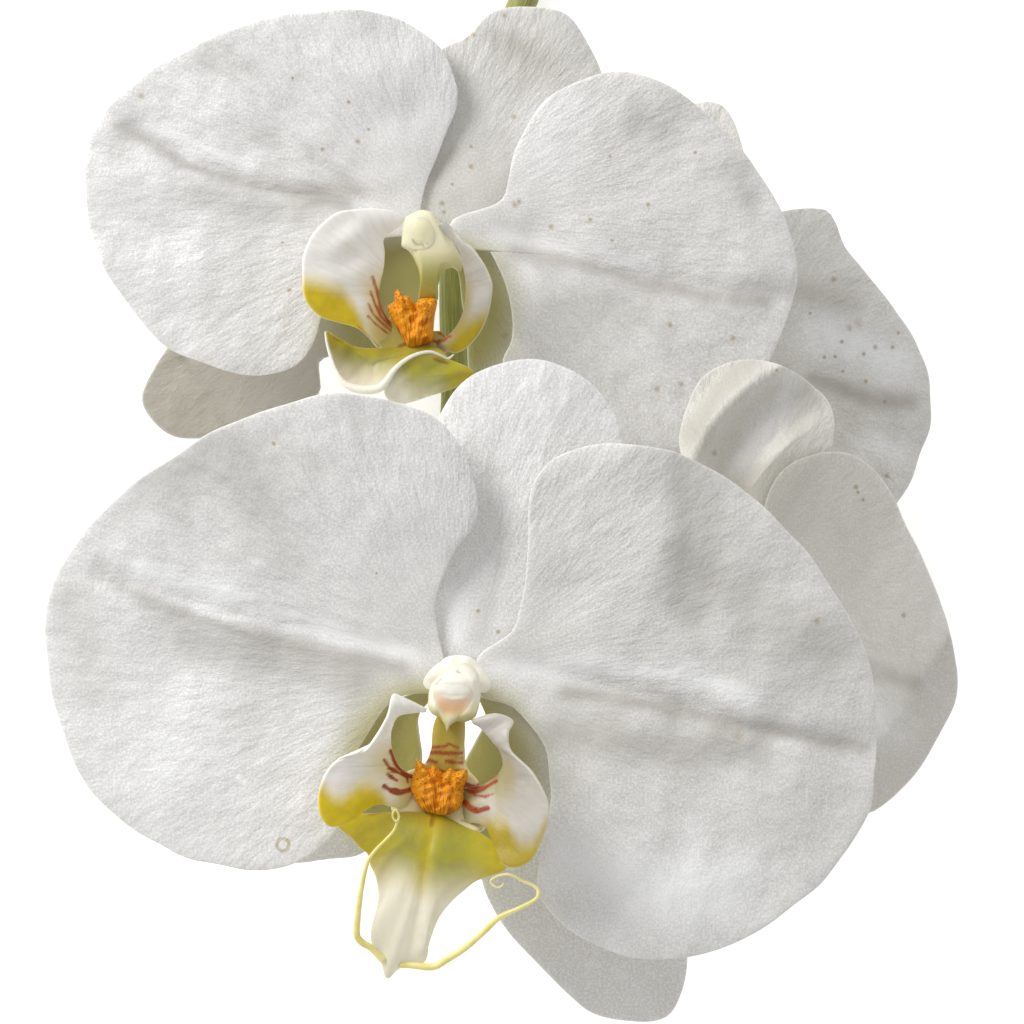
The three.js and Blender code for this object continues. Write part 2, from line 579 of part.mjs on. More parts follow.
// The lip, its parts grown together where their roots overlap.
function lipGeometry(lip, place, depth) {
  const line = (route) => route.map((point) => place(point).toArray());
  return fused([
    lobeGeometry(lip.claw, CLAW * depth, place),
    lobeGeometry(lip.midlobe, LOBE, place),
    ribbonGeometry(lip.left_lobe, place),
    ribbonGeometry(lip.right_lobe, place),
    ...lip.tendrils.map((route) => sweep(line(route), TENDRIL_RADII, TENDRIL_SIDES)),
  ]);
}

// The warty callus in the lip's throat: two humps, a front hump and two horns.
function callusGeometry(lip, place, scale, depth) {
  const at = ([x, y, z]) => place([lip.callus[0] + x, lip.callus[1] + y, lip.callus[2] + z]);
  const humps = CALLUS_HUMPS.map(([x, y, z, width, length, height]) => {
    const middle = at([x, y, z]);
    const ball = new THREE.SphereGeometry(1, ...HUMP_FACETS);
    ball.scale(width * scale, length * scale, height * depth);
    return ball.translate(middle.x, middle.y, middle.z);
  });
  const horns = [-1, 1].map((side) => {
    const route = HORN_ROUTE.map(([x, y, z]) => at([side * x, y, z]).toArray());
    return sweep(route, HORN_RADII, HORN_SIDES);
  });
  return fused([...humps, ...horns]);
}

function columnGeometry(route, place, scale) {
  const line = route.map((point) => place(point).toArray());
  const girth = Math.min(scale * COLUMN_STOUTNESS, 1);
  return sweep(line, COLUMN_RADII.map((r) => r * girth), COLUMN_SIDES);
}

// The cap over the pollen, a small dome just clear of the column's end.
function capGeometry(route, place, scale) {
  const end = place(route.at(-1));
  const outward = end.clone().sub(place(route.at(-2))).normalize();
  const line = CAP_STEPS.map((step) => end.clone().addScaledVector(outward, step).toArray());
  return sweep(line, CAP_RADII.map((r) => r * scale), COLUMN_SIDES);
}

// A flower stalk from the stem to the flared seat under its bloom.
function stalkGeometry(bloom) {
  const [x, y, z] = bloom.centre;
  const seat = SEAT_DEPTHS.map((depth) => [x, y, z + SEAT_TOP - depth]);
  const radii = [...bloom.stalk.map(() => STALK_RADIUS), ...SEAT_FLARE];
  return sweep([...bloom.stalk, ...seat], radii, STEM_SIDES, 2);
}

function stemRadius(y) {
  const tip = THREE.MathUtils.smoothstep(y, STEM_PATH[0][1], RACHIS_START);
  const base = THREE.MathUtils.smoothstep(y, BASE_START, STEM_PATH.at(-1)[1]);
  const grown = THREE.MathUtils.lerp(TIP_RADIUS, RACHIS_RADIUS, tip);
  const swells = BRACTS.map(([place]) => NODE_SWELL * bell(y - place - 1, NODE_LENGTH));
  const node = swells.reduce((sum, swell) => sum + swell, 0);
  return grown + (CUT_RADIUS - RACHIS_RADIUS) * base + node;
}

function stemCurve() {
  const line = STEM_PATH.map(([x, y]) => [x, y, stemRadius(y) * STEM_SEAT]);
  return new THREE.CatmullRomCurve3(line.map(vector), false, 'centripetal');
}

// A bract, a short pointed scale that hugs the stem and points to its tip.
function bractGeometry(curve, [y, side]) {
  const line = curve.getPoints(STEM_STEPS * 12);
  const off = (point) => Math.abs(point.y - y);
  const { x, z } = line.reduce((best, point) => (off(point) < off(best) ? point : best));
  const route = BRACT_ROUTE.map(([out, along, up]) => (
    [x + side * (stemRadius(y) + out), y + along, z + up]
  ));
  return sweep(route, BRACT_RADII, HORN_SIDES);
}

function stemGeometry() {
  const curve = stemCurve();
  const route = curve.getPoints(STEM_STEPS).map((point) => point.toArray());
  const radii = route.map(([, y]) => stemRadius(y));
  const rod = sweep(route, radii, STEM_SIDES, 1, 0, CUT_SLANT);
  return fused([rod, ...BRACTS.map((bract) => bractGeometry(curve, bract))]);
}

function piece(name, geometry, finish) {
  const mesh = new THREE.Mesh(geometry, new THREE.MeshStandardMaterial(FINISH[finish]));
  mesh.name = name;
  return mesh;
}

function bloomGroup(bloom) {
  const { name, centre, lip, column, scale, depth } = bloom;
  const turn = THREE.MathUtils.degToRad(bloom.turn);
  const place = ([x, y, z]) => new THREE.Vector3(
    scale * (x * Math.cos(turn) - y * Math.sin(turn)),
    scale * (x * Math.sin(turn) + y * Math.cos(turn)),
    depth * z,
  );
  const group = new THREE.Group();
  group.position.set(...centre);
  for (const [part, shape] of Object.entries(bloom.tepals)) {
    group.add(piece(`${name}_${part}`, tepalGeometry(bloom, part, shape), 'tepal'));
  }
  group.add(piece(`${name}_lip`, lipGeometry(lip, place, depth), 'lip'));
  group.add(piece(`${name}_callus`, callusGeometry(lip, place, scale, depth), 'callus'));
  group.add(piece(`${name}_column`, columnGeometry(column, place, scale), 'column'));
  group.add(piece(`${name}_anther_cap`, capGeometry(column, place, scale), 'cap'));
  return group;
}

const plant = new THREE.Group();
plant.position.set(-FOOTPRINT_MIDDLE[0], -FOOTPRINT_MIDDLE[1], 0);
plant.add(piece('stem', stemGeometry(), 'stem'));
for (const bloom of BLOOMS) {
  plant.add(bloomGroup(bloom));
  plant.add(piece(`${bloom.name}_stalk`, stalkGeometry(bloom), 'stalk'));
}

const root = new THREE.Group();
root.add(plant);
root.updateMatrixWorld(true);

export default root;
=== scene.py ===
"""Moth orchid stem: petals, lips, columns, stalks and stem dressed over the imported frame."""

import functools
import math

import bpy
import numpy as np
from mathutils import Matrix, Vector


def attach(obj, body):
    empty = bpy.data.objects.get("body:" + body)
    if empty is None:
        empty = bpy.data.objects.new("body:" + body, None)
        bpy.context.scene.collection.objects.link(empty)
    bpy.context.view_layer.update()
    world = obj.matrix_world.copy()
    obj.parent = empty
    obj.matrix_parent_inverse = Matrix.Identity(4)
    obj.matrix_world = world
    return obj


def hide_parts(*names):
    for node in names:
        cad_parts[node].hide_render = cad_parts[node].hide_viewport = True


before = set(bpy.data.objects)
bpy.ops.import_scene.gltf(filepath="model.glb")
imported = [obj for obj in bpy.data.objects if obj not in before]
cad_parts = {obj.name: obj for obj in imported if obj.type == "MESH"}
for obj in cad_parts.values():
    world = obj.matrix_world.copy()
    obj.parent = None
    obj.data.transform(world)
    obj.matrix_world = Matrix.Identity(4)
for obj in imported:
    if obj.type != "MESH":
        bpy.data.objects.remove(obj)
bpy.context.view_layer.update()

# Lengths below are in millimetres in the part's frame, and meshes are made in metres.
MM = 0.001

# The camera looks straight down on the plant from this place.
CAMERA_AT = (-0.5, -82.3)
CAMERA_HEIGHT = 646
FRAME_PIXELS = 1024
FOCAL_PIXELS = 4320
SENSOR_WIDTH = 36

# Where each bloom's centre stands.
CENTRES = {
    "a": (-7.7, -104.9, 46),
    "b": (-11.2, -39.7, 28),
    "c": (24.1, -65.6, 13),
    "d": (31.5, -89.2, 26),
}
# The solids' blades: their thickness, and the rings between a blade's heart and its edge.
CAD_BLADE = 0.8
CAD_RINGS = 4
PETAL_LAYER = 0.6
SEPAL_LAYER = -0.6
SEAT_RADIUS = 3
SEAT_BLEND = 10

# Which front bloom's lip and column each bloom repeats, turned, scaled and flattened so, and how
# finely they are made.
BLOOMS = {
    "a": {"lip": "a", "turn": 0, "scale": 1, "depth": 1, "detail": 1},
    "b": {"lip": "b", "turn": 0, "scale": 1, "depth": 1, "detail": 1},
    "c": {"lip": "a", "turn": -7, "scale": 0.62, "depth": 0.6, "detail": 0.5},
    "d": {"lip": "a", "turn": -30, "scale": 0.85, "depth": 0.85, "detail": 0.5},
}

# A real petal's thickness, and how far in from its edge it gets there.
PETAL_THICKNESS = 0.46
EDGE_WIDTH = 1.6
# Rings of a petal's mesh, and those that follow its edge at these distances.
FIELD_RINGS = 26
EDGE_RINGS = (3.2, 2.1, 1.3, 0.8, 0.5, 0.28, 0.12, 0.03, 0)
LOOP_POINTS = 176
# The share of these that a blade other than the two front blooms' petals gets.
PLAIN_SHARE = 0.72
# What is nearer to a blade's edge than this is on it.
AT_EDGE = 1e-6


def srgb(red, green, blue):
    """A colour as it is seen on a screen, from 0 to 255, as the shaders take it."""
    shares = [channel / 255 for channel in (red, green, blue)]
    return tuple(c / 12.92 if c <= 0.04045 else ((c + 0.055) / 1.055) ** 2.4 for c in shares)


def seen(px, py, z):
    """The place at height z that the camera shows at a pixel of its frame."""
    scale = (CAMERA_HEIGHT - z) / FOCAL_PIXELS
    x = CAMERA_AT[0] + (px - FRAME_PIXELS / 2) * scale
    y = CAMERA_AT[1] + (FRAME_PIXELS / 2 - py) * scale
    return x, y


def smooth(x):
    """An even step from 0 to 1."""
    x = np.clip(x, 0, 1)
    return x * x * (3 - 2 * x)


def step(x, start, run):
    """An even step from 0 at the start to 1 a run further."""
    return smooth((x - start) / run)


def bell(x, width):
    """1 at 0, and less than half beyond the width."""
    return np.exp(-((x / width) ** 2))


def quarter(share, least=0):
    """A quarter circle's height at a share of its width, but no less than this."""
    return np.sqrt(np.clip(1 - (1 - np.clip(share, 0, 1)) ** 2, least, 1))


def travel(points):
    """How far along a line each of its points lies."""
    return np.concatenate([[0], np.cumsum(np.linalg.norm(np.diff(points, axis=0), axis=1))])


def ripple(x, y, size, seed):
    """Soft noise of about one unit, with waves of about the size given."""
    random = np.random.default_rng(seed)
    total = 0
    count = 8
    for _ in range(count):
        angle = random.uniform(0, math.tau)
        pace = math.tau / (size * random.uniform(0.7, 1.6))
        start = random.uniform(0, math.tau)
        total = total + np.sin(pace * (x * math.cos(angle) + y * math.sin(angle)) + start)
    return total / math.sqrt(count / 2)


def distance_to(x, y, line):
    """How far points lie from a line through the given ones, and how far along it they are."""
    best = np.full(np.shape(x), 1e9)
    along = np.zeros(np.shape(x))
    spans = len(line) - 1
    for i in range(spans):
        (x0, y0), (x1, y1) = line[i][:2], line[i + 1][:2]
        dx, dy = x1 - x0, y1 - y0
        t = np.clip(((x - x0) * dx + (y - y0) * dy) / (dx * dx + dy * dy), 0, 1)
        gap = np.hypot(x - x0 - t * dx, y - y0 - t * dy)
        along = np.where(gap < best, (i + t) / spans, along)
        best = np.minimum(best, gap)
    return best, along


def between(t, low, high, first, second):
    """What runs evenly from the first thing at low to the second at high, at t."""
    return (high - t) / (high - low) * first + (t - low) / (high - low) * second


def smooth_line(points, count, closed=False, even=True):
    """Points on a smooth line through the given ones, evenly spaced or in step with them."""
    points = np.asarray(points, float)
    if closed:
        ends = np.vstack([points[-1], points, points[:2]])
    else:
        ends = np.vstack([2 * points[0] - points[1], points, 2 * points[-1] - points[-2]])
    steps = 24
    dense = []
    for p0, p1, p2, p3 in zip(ends, ends[1:], ends[2:], ends[3:]):
        k1 = np.sqrt(np.linalg.norm(p1 - p0))
        k2 = k1 + np.sqrt(np.linalg.norm(p2 - p1))
        k3 = k2 + np.sqrt(np.linalg.norm(p3 - p2))
        t = np.linspace(k1, k2, steps, endpoint=False)[:, None]
        middle = between(t, k1, k2, p1, p2)
        before = between(t, 0, k2, between(t, 0, k1, p0, p1), middle)
        after = between(t, k1, k3, middle, between(t, k2, k3, p2, p3))
        dense.append(between(t, k1, k2, before, after))
    dense = np.vstack([*dense, points[:1] if closed else points[-1:]])
    place = travel(dense) if even else np.arange(len(dense), dtype=float)
    wanted = np.linspace(0, place[-1], count, endpoint=not closed)
    return np.column_stack([np.interp(wanted, place, column) for column in dense.T])


def vertex_places(mesh):
    raw = np.empty(len(mesh.vertices) * 3, np.float32)
    mesh.vertices.foreach_get("co", raw)
    return raw.reshape(-1, 3)


def cad_rim(node):
    """A blade's outline and the heart of its rings, read from its solid in the frame."""
    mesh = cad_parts[node].data
    raw = vertex_places(mesh) / MM
    mesh.calc_loop_triangles()
    corners = np.empty(len(mesh.loop_triangles) * 3, np.int32)
    mesh.loop_triangles.foreach_get("vertices", corners)
    _, place = np.unique(np.round(raw * 1000).astype(np.int64), axis=0, return_inverse=True)
    place = place.ravel()
    points = np.zeros((place.max() + 1, 3))
    points[place] = raw
    faces = place[corners.reshape(-1, 3)]
    sides = np.vstack([faces[:, [0, 1]], faces[:, [1, 2]], faces[:, [2, 0]]])
    sides = np.unique(np.sort(sides, axis=1), axis=0)
    ones, others = sides.T

    def outer_ring(heart):
        rank = np.full(len(points), -1)
        rank[heart] = 0
        for k in range(CAD_RINGS):
            for near, far in ((ones, others), (others, ones)):
                rank[far[(rank[near] == k) & (rank[far] < 0)]] = k + 1
        return rank == CAD_RINGS

    # The solid's two hearts touch the most faces. Sides as long as the blade is thick join the
    # outer ring round one to the ring round the other, and the outline runs through their middles.
    hearts = np.argsort(np.bincount(faces.ravel()))[-2:]
    upper, lower = outer_ring(hearts[0]), outer_ring(hearts[1])
    length = np.linalg.norm(points[ones] - points[others], axis=1)
    facing = upper[ones] & lower[others] | lower[ones] & upper[others]
    middle = {}
    for pair in sides[facing & (abs(length - CAD_BLADE) < CAD_BLADE / 400)]:
        middle[pair[0] if upper[pair[0]] else pair[1]] = points[pair].mean(axis=0)
    links = {corner: [] for corner in middle}
    for one, other in sides[upper[ones] & upper[others]]:
        links[one].append(other)
        links[other].append(one)
    order = [min(middle)]
    while len(order) < len(middle):
        passed = order[-2:] + order[:1]
        order.append(next(corner for corner in links[order[-1]] if corner not in passed))
    loop = np.array([middle[corner] for corner in order])
    turned = np.roll(loop, -1, axis=0)
    area = np.sum(loop[:, 0] * turned[:, 1] - turned[:, 0] * loop[:, 1])
    return (loop if area > 0 else loop[::-1])[:, :2], points[hearts].mean(axis=0)[:2]


def disc(heart, loop, field_rings, edge_rings):
    """A grid of rings from a heart to a loop: its places, how far each is from the edge, faces."""
    count = len(loop)
    spokes = loop - heart
    reach = np.linalg.norm(spokes, axis=1)
    shares = [(k / field_rings) * (1 - edge_rings[0] / reach) for k in range(1, field_rings)]
    shares += [1 - distance / reach for distance in edge_rings]
    places = [heart[None, :]]
    depth = [np.array([reach.min()])]
    for share in shares:
        share = np.clip(share, 0, 1)
        place = heart + spokes * share[:, None]
        place[:, 2:] = heart[2:] + spokes[:, 2:] * share[:, None] ** 2
        places.append(place)
        depth.append(reach * (1 - share))
    around = np.arange(count)
    after = (around + 1) % count
    faces = [np.column_stack([np.zeros(count, int), 1 + around, 1 + after]).tolist()]
    for k in range(len(shares) - 1):
        inner = 1 + k * count
        outer = inner + count
        ring = [inner + around, outer + around, outer + after, inner + after]
        faces.append(np.column_stack(ring).tolist())
    return np.vstack(places), np.concatenate(depth), [face for part in faces for face in part]


def point_normals(points, faces):
    quads = np.array([face if len(face) == 4 else [*face, face[-1]] for face in faces])
    first, second, third, fourth = (points[corner] for corner in quads.T)
    across = np.cross(third - first, fourth - second)
    normals = np.zeros_like(points)
    for corner in range(4):
        np.add.at(normals, quads[:, corner], across)
    return normals / np.maximum(np.linalg.norm(normals, axis=1, keepdims=True), 1e-12)


def doubled(upper, lower, faces, shared):
    """Two sheets that share the points so marked, and which of the first points each comes from."""
    apart = np.flatnonzero(~shared)
    index = np.arange(len(upper))
    index[apart] = len(upper) + np.arange(len(apart))
    under = [[int(index[corner]) for corner in reversed(face)] for face in faces]
    owner = np.concatenate([np.arange(len(upper)), apart])
    return np.vstack([upper, lower[apart]]), faces + under, owner


def thickened(points, faces, half):
    """Both faces of a middle sheet. They share the points whose half thickness is 0."""
    offset = point_normals(points, faces) * half[:, None]
    return doubled(points + offset, points - offset, faces, half <= 0)


def edge_half(depth, thickness, width):
    """Half the thickness of a blade that thins round to nothing at its edge."""
    return np.where(depth < AT_EDGE, 0, thickness / 2 * quarter(depth / width))


def linked(name, data):
    """A new object in the scene."""
    piece = bpy.data.objects.new(name, data)
    bpy.context.scene.collection.objects.link(piece)
    return piece


def store(mesh, masks):
    """Keeps a value of each point of a mesh for each of these names."""
    for key, values in masks.items():
        attribute = mesh.attributes.new(key, "FLOAT", "POINT")
        attribute.data.foreach_set("value", np.asarray(values, np.float32))


def mesh_piece(name, points, faces, material, masks=None, flow=None):
    """A piece of the plant from points in millimetres, with its values for the materials."""
    mesh = bpy.data.meshes.new(name)
    mesh.from_pydata((points * MM).tolist(), [], faces)
    mesh.polygons.foreach_set("use_smooth", np.ones(len(mesh.polygons), bool))
    store(mesh, masks or {})
    if flow is not None:
        attribute = mesh.attributes.new("flow", "FLOAT_VECTOR", "POINT")
        attribute.data.foreach_set("vector", flow.astype(np.float32).ravel())
    mesh.materials.append(material)
    return linked(name, mesh)


def fit(piece, node):
    """Puts a finished piece in the place of its node."""
    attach(piece, "root")
    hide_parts(node)


def fill(tree, node, inputs):
    """Gives a node's sockets their values or links."""
    for key, value in inputs.items():
        value = value.link if isinstance(value, Socket) else value
        if isinstance(value, bpy.types.NodeSocket):
            tree.links.new(value, node.inputs[key])
        else:
            node.inputs[key].default_value = value


def add_node(tree, kind, settings, inputs, output):
    """A node with its settings, and the values or links of its sockets. Returns its output."""
    node = tree.nodes.new(kind)
    for key, value in (settings or {}).items():
        setattr(node, key, value)
    fill(tree, node, inputs or {})
    return node.outputs[output]


class Socket:
    """A node's output. Sums and products of sockets add the Math nodes for them."""

    def __init__(self, shop, link):
        self.shop = shop
        self.link = link

    def maths(self, operation, first, second=0.0):
        return self.shop.make("ShaderNodeMath", {"operation": operation}, {0: first, 1: second})

    def __add__(self, other):
        return self.maths("ADD", self, other)

    __radd__ = __add__

    def __sub__(self, other):
        return self.maths("SUBTRACT", self, other)

    def __rsub__(self, other):
        return self.maths("SUBTRACT", other, self)

    def __mul__(self, other):
        return self.maths("MULTIPLY", self, other)

    __rmul__ = __mul__

    def lighter(self, other):
        return self.maths("MAXIMUM", self, other)

    def ramp(self, low, high, start=0.0, end=1.0):
        """An even step, from the start under the low value to the end over the high one."""
        inputs = {"Value": self, "From Min": low, "From Max": high, "To Min": start, "To Max": end}
        return self.shop.make("ShaderNodeMapRange", {"interpolation_type": "SMOOTHSTEP"}, inputs)


class Shop:
    """Makes the nodes of one material."""

    def __init__(self, name):
        self.material = bpy.data.materials.new(name)
        self.material.use_nodes = True
        self.tree = self.material.node_tree
        self.place = self.scaled(self.make("ShaderNodeTexCoord", output="Object"), (1 / MM,) * 3)

    def make(self, kind, settings=None, inputs=None, output=0):
        return Socket(self, add_node(self.tree, kind, settings, inputs, output))

    def vectors(self, operation, first, second, output=0):
        settings = {"operation": operation}
        return self.make("ShaderNodeVectorMath", settings, {0: first, 1: second}, output)

    def scaled(self, vector, factors):
        return self.vectors("MULTIPLY", vector, factors)

    def mask(self, name, output="Fac"):
        """A value that is kept on the mesh."""
        return self.make("ShaderNodeAttribute", {"attribute_name": name}, output=output)

    def flow(self, factors):
        return self.scaled(self.mask("flow", "Vector"), factors)

    def noise(self, vector, scale, detail=2.0, roughness=0.5, dimensions="3D"):
        inputs = {"Vector": vector, "Scale": scale, "Detail": detail, "Roughness": roughness}
        return self.make("ShaderNodeTexNoise", {"noise_dimensions": dimensions}, inputs)

    def cells(self, scale):
        inputs = {"Vector": self.place, "Scale": scale}
        return self.make("ShaderNodeTexVoronoi", {"feature": "F1"}, inputs, "Distance")

    def blend(self, share, first, second, kind="MIX"):
        """A colour between two others, by a share from 0 to 1."""
        settings = {"data_type": "RGBA", "blend_type": kind}
        colours = [c if isinstance(c, Socket) else (*c, 1) for c in (first, second)]
        return self.make("ShaderNodeMix", settings, {0: share, 6: colours[0], 7: colours[1]}, 2)

    def layered(self, colour, *layers):
        """A colour with others over it in turn, each by its share or by the mask of this name."""
        for share, tint in layers:
            share = self.mask(share) if isinstance(share, str) else share
            colour = self.blend(share, colour, tint)
        return colour

    def gap(self, middle):
        """How far a place on the plant is from another, both seen from above."""
        flat_place = self.scaled(self.place, (1, 1, 0))
        return self.vectors("DISTANCE", flat_place, (*middle, 0), "Value")

    def finish(self, colour, height, depth, roughness, subsurface=0.0, reach=1.0, **constants):
        """Joins colour and relief to the shader and sets the values that are the same all over."""
        relief = {"Height": height, "Strength": 1.0, "Distance": depth * MM}
        inputs = {
            "Base Color": colour,
            "Normal": self.make("ShaderNodeBump", None, relief),
            "Roughness": roughness,
            "Subsurface Weight": subsurface,
            "Subsurface Radius": (1.0, 0.95, 0.8),
            "Subsurface Scale": reach * MM,
        }
        inputs |= {key.replace("_", " "): value for key, value in constants.items()}
        fill(self.tree, self.tree.nodes["Principled BSDF"], inputs)
        return self.material


# Petals and sepals

WHITE = (0.755, 0.753, 0.75)
VEIN_WHITE = (0.68, 0.677, 0.67)
# Painted highlights: the white of the fine glints and of the lighter streaks.
HIGHLIGHT_WHITE = (0.95, 0.95, 0.948)
# Painted shade: the warmer grey that blades lying in shadow turn to.
WARM_SHADE_GREY = (0.70, 0.675, 0.60)
SHADE = (0.6, 0.578, 0.54)
# The thin edges' own cream with a painted highlight where light shows through them.
EDGE_HIGHLIGHT = (0.88, 0.87, 0.82)
# The throat's green round a lip: partly the petals' own green base, partly painted shade.
THROAT_GREEN_AND_SHADE = srgb(180, 174, 94)
SPECK_BROWN = srgb(158, 132, 76)

# How strongly each bloom's petals carry painted glints, crumple and crease.
SKINS = {"a": (0.62, 1.1, 0.55), "b": (0.6, 1.2, 0.6), "c": (0.4, 2.2, 1.1), "d": (0.35, 1.6, 0.8)}

# Brown specks on each bloom's petals, by pixel and radius.
SPECKS = {
    "a": [
        (738, 735, 1.0), (498, 632, 0.4), (478, 611, 0.35), (817, 621, 0.6), (377, 573, 0.25),
        (275, 444, 0.4),
    ],
    "b": [
        (670, 325, 0.5), (657, 389, 0.55), (681, 384, 0.5), (695, 153, 0.35), (349, 103, 0.4),
        (358, 142, 0.45), (323, 150, 0.4), (369, 130, 0.3), (293, 79, 0.3), (141, 96, 0.6),
        (290, 291, 0.45), (283, 243, 0.3), (504, 13, 0.5), (467, 36, 0.6), (473, 33, 0.5), (514, 116, 0.5),
        (471, 146, 0.35), (471, 166, 0.5), (442, 203, 0.5), (444, 212, 0.35), (452, 184, 0.3),
        (515, 205, 0.6), (519, 202, 0.5), (551, 227, 0.5), (590, 220, 0.4), (648, 205, 0.4),
        (612, 241, 0.3), (733, 338, 0.5), (610, 157, 0.3), (505, 334, 0.6),
    ],
    "c": [
        (862, 322, 0.9), (845, 340, 0.4), (880, 345, 0.5), (870, 380, 0.45), (893, 475, 0.5),
        (853, 326, 0.7), (838, 355, 0.35), (898, 345, 0.4), (890, 400, 0.35), (836, 277, 0.5),
        (812, 312, 0.3), (827, 356, 0.35), (868, 352, 0.4), (846, 370, 0.3), (904, 330, 0.35),
    ],
    "d": [
        (858, 487, 0.45), (866, 500, 0.35), (711, 454, 0.5), (914, 618, 0.5), (860, 492, 0.35),
        (771, 373, 0.3),
    ],
}

# Two white spots and a scar like a ring on bloom a's left petal, by pixel.
WHITE_SPOTS = [(240, 777), (245, 781)]
SCAR = (284, 843)
SCAR_RADIUS = 0.85
SPOT_RADIUS = 0.75


def petal_material(bloom):
    """The satin skin of a bloom's petals, with veins that fan out from its middle."""
    shop = Shop(f"{bloom}_petal_skin")
    glint_share, crumpled, creased = SKINS[bloom]
    veins = shop.noise(shop.flow((1, 1, 0)), 1.0, 3.0, 0.62, "2D")
    creases = shop.noise(shop.flow((0.6, 1.9, 0)), 1.0, 3.0, 0.6, "2D")
    crumple = shop.noise(shop.place, 0.16, 1.0, 0.5, "2D")
    grain = shop.noise(shop.place, 2.9, 2.0, 0.7, "2D")
    out, shade = shop.mask("out"), shop.mask("shade")
    # Painted highlights: fine glints on the grain and the creases, dimmed under the painted shade, and the
    # painted light streaks.
    painted_highlight = grain.ramp(0.4, 0.68) * glint_share + creases.ramp(0.5, 0.75) * out * 0.2
    painted_highlight = painted_highlight * (1 - shade) + shop.mask("light")
    colour = shop.blend(veins.ramp(0.3, 0.75), WHITE, VEIN_WHITE)
    # Painted shade turns the white to a warmer grey on blades that lie in shadow.
    colour = shop.layered(colour, ("warm_shade", WARM_SHADE_GREY), (painted_highlight, HIGHLIGHT_WHITE), ("green", THROAT_GREEN_AND_SHADE))
    colour = shop.blend(shade, colour, SHADE, "MULTIPLY")
    # A painted highlight on the thin edges, over their own cream.
    colour = shop.blend(shop.mask("edge") * 0.45, colour, EDGE_HIGHLIGHT)
    level = CENTRES[bloom][2]
    marks = 0.0
    if bloom == "a":
        gaps = [shop.gap(seen(*spot, level)) for spot in WHITE_SPOTS]
        white, other = (gap.ramp(0.0, SPOT_RADIUS, 0.9, 0.0) for gap in gaps)
        colour = shop.blend(white.lighter(other), colour, (1.0, 1.0, 1.0))
        off_ring = shop.gap(seen(*SCAR, level)) - SCAR_RADIUS
        marks = (1 - off_ring.maths("ABSOLUTE", off_ring).ramp(0.1, 0.35)) * 0.5
    for px, py, radius in SPECKS[bloom]:
        gap = shop.gap(seen(px, py, level))
        marks = gap.ramp(0.0, radius * 1.25, min(0.75, 0.32 / radius), 0.0).lighter(marks)
    colour = shop.blend(marks, colour, SPECK_BROWN)
    relief = (veins * 0.12 + creases * creased) * out + crumple * crumpled + grain * 0.1
    return shop.finish(colour, relief, 0.5, 0.42)


# Each blade of a bloom: which way its midrib runs, its layer, its rise and droop outwards, its
# bend sideways, and how steeply its halves rise from its midrib.
SHAPES = {
    "a_petal_left": (175, PETAL_LAYER, 0.05, -0.0022, 0, 0.085),
    "a_petal_right": (-7.5, PETAL_LAYER, 0.03, -0.0018, 0, 0.08),
    "a_dorsal_sepal": (76.5, SEPAL_LAYER, -0.06, -0.0015, -0.004, 0),
    "a_sepal_left": (220, SEPAL_LAYER, -0.1, -0.004, -0.004, 0),
    "a_sepal_right": (-60, SEPAL_LAYER, -0.08, -0.0025, -0.004, 0),
    "b_petal_left": (166, PETAL_LAYER, 0.05, -0.002, -0.0008, 0.05),
    "b_petal_right": (-11.8, PETAL_LAYER, 0.02, -0.0012, -0.0004, 0.05),
    "b_dorsal_sepal": (66.7, SEPAL_LAYER, -0.06, -0.001, -0.004, 0),
    "b_sepal_left": (211.4, SEPAL_LAYER, -0.46, -0.0052, -0.002, 0),
    "b_sepal_right": (-70, SEPAL_LAYER, -0.2, -0.003, -0.004, 0),
    "c_petal_left": (172, PETAL_LAYER, -0.05, -0.008, -0.002, 0),
    "c_petal_right": (-4, PETAL_LAYER, -0.24, -0.0042, -0.0012, 0),
    "c_dorsal_sepal": (83, SEPAL_LAYER, -0.12, -0.003, -0.003, 0),
    "c_sepal_left": (-135, SEPAL_LAYER, -0.22, -0.006, -0.004, 0),
    "c_sepal_right": (-52, SEPAL_LAYER, -0.3, -0.006, -0.004, 0),
    "d_petal_left": (100, PETAL_LAYER, 0, 0, 0, 0),
    "d_petal_right": (-31, PETAL_LAYER, -0.42, -0.013, -0.003, 0),
    "d_dorsal_sepal": (58, SEPAL_LAYER, -0.12, -0.001, -0.004, 0),
    "d_sepal_left": (-150, SEPAL_LAYER, -0.15, -0.004, -0.004, 0),
    "d_sepal_right": (-80, SEPAL_LAYER, -0.62, -0.006, -0.004, 0),
}
# Painted shade: how far each blade's white turns to a warmer grey, where it isn't its bloom's own, and how
# dark its painted shade makes it.
WARM_SHADE_SHARES = {
    "a": 0.2, "b": 0.1, "c": 0.65, "d": 0.85, "a_petal_right": 0.45, "b_petal_right": 0.3,
    "b_dorsal_sepal": 0.5, "b_sepal_left": 0.9, "a_sepal_left": 0.6, "a_sepal_right": 0.6,
    "b_sepal_right": 0.8,
}
BLADE_SHADE = {
    "b_sepal_left": 1.0, "d_petal_left": 0.2, "b_dorsal_sepal": 0.28, "b_petal_left": 0.14,
    "b_petal_right": 0.1, "a_petal_left": 0.1, "a_petal_right": 0.1,
}
# How strongly the painted shade and light of the streaks below show.
SHADING_STRENGTH = 1.7
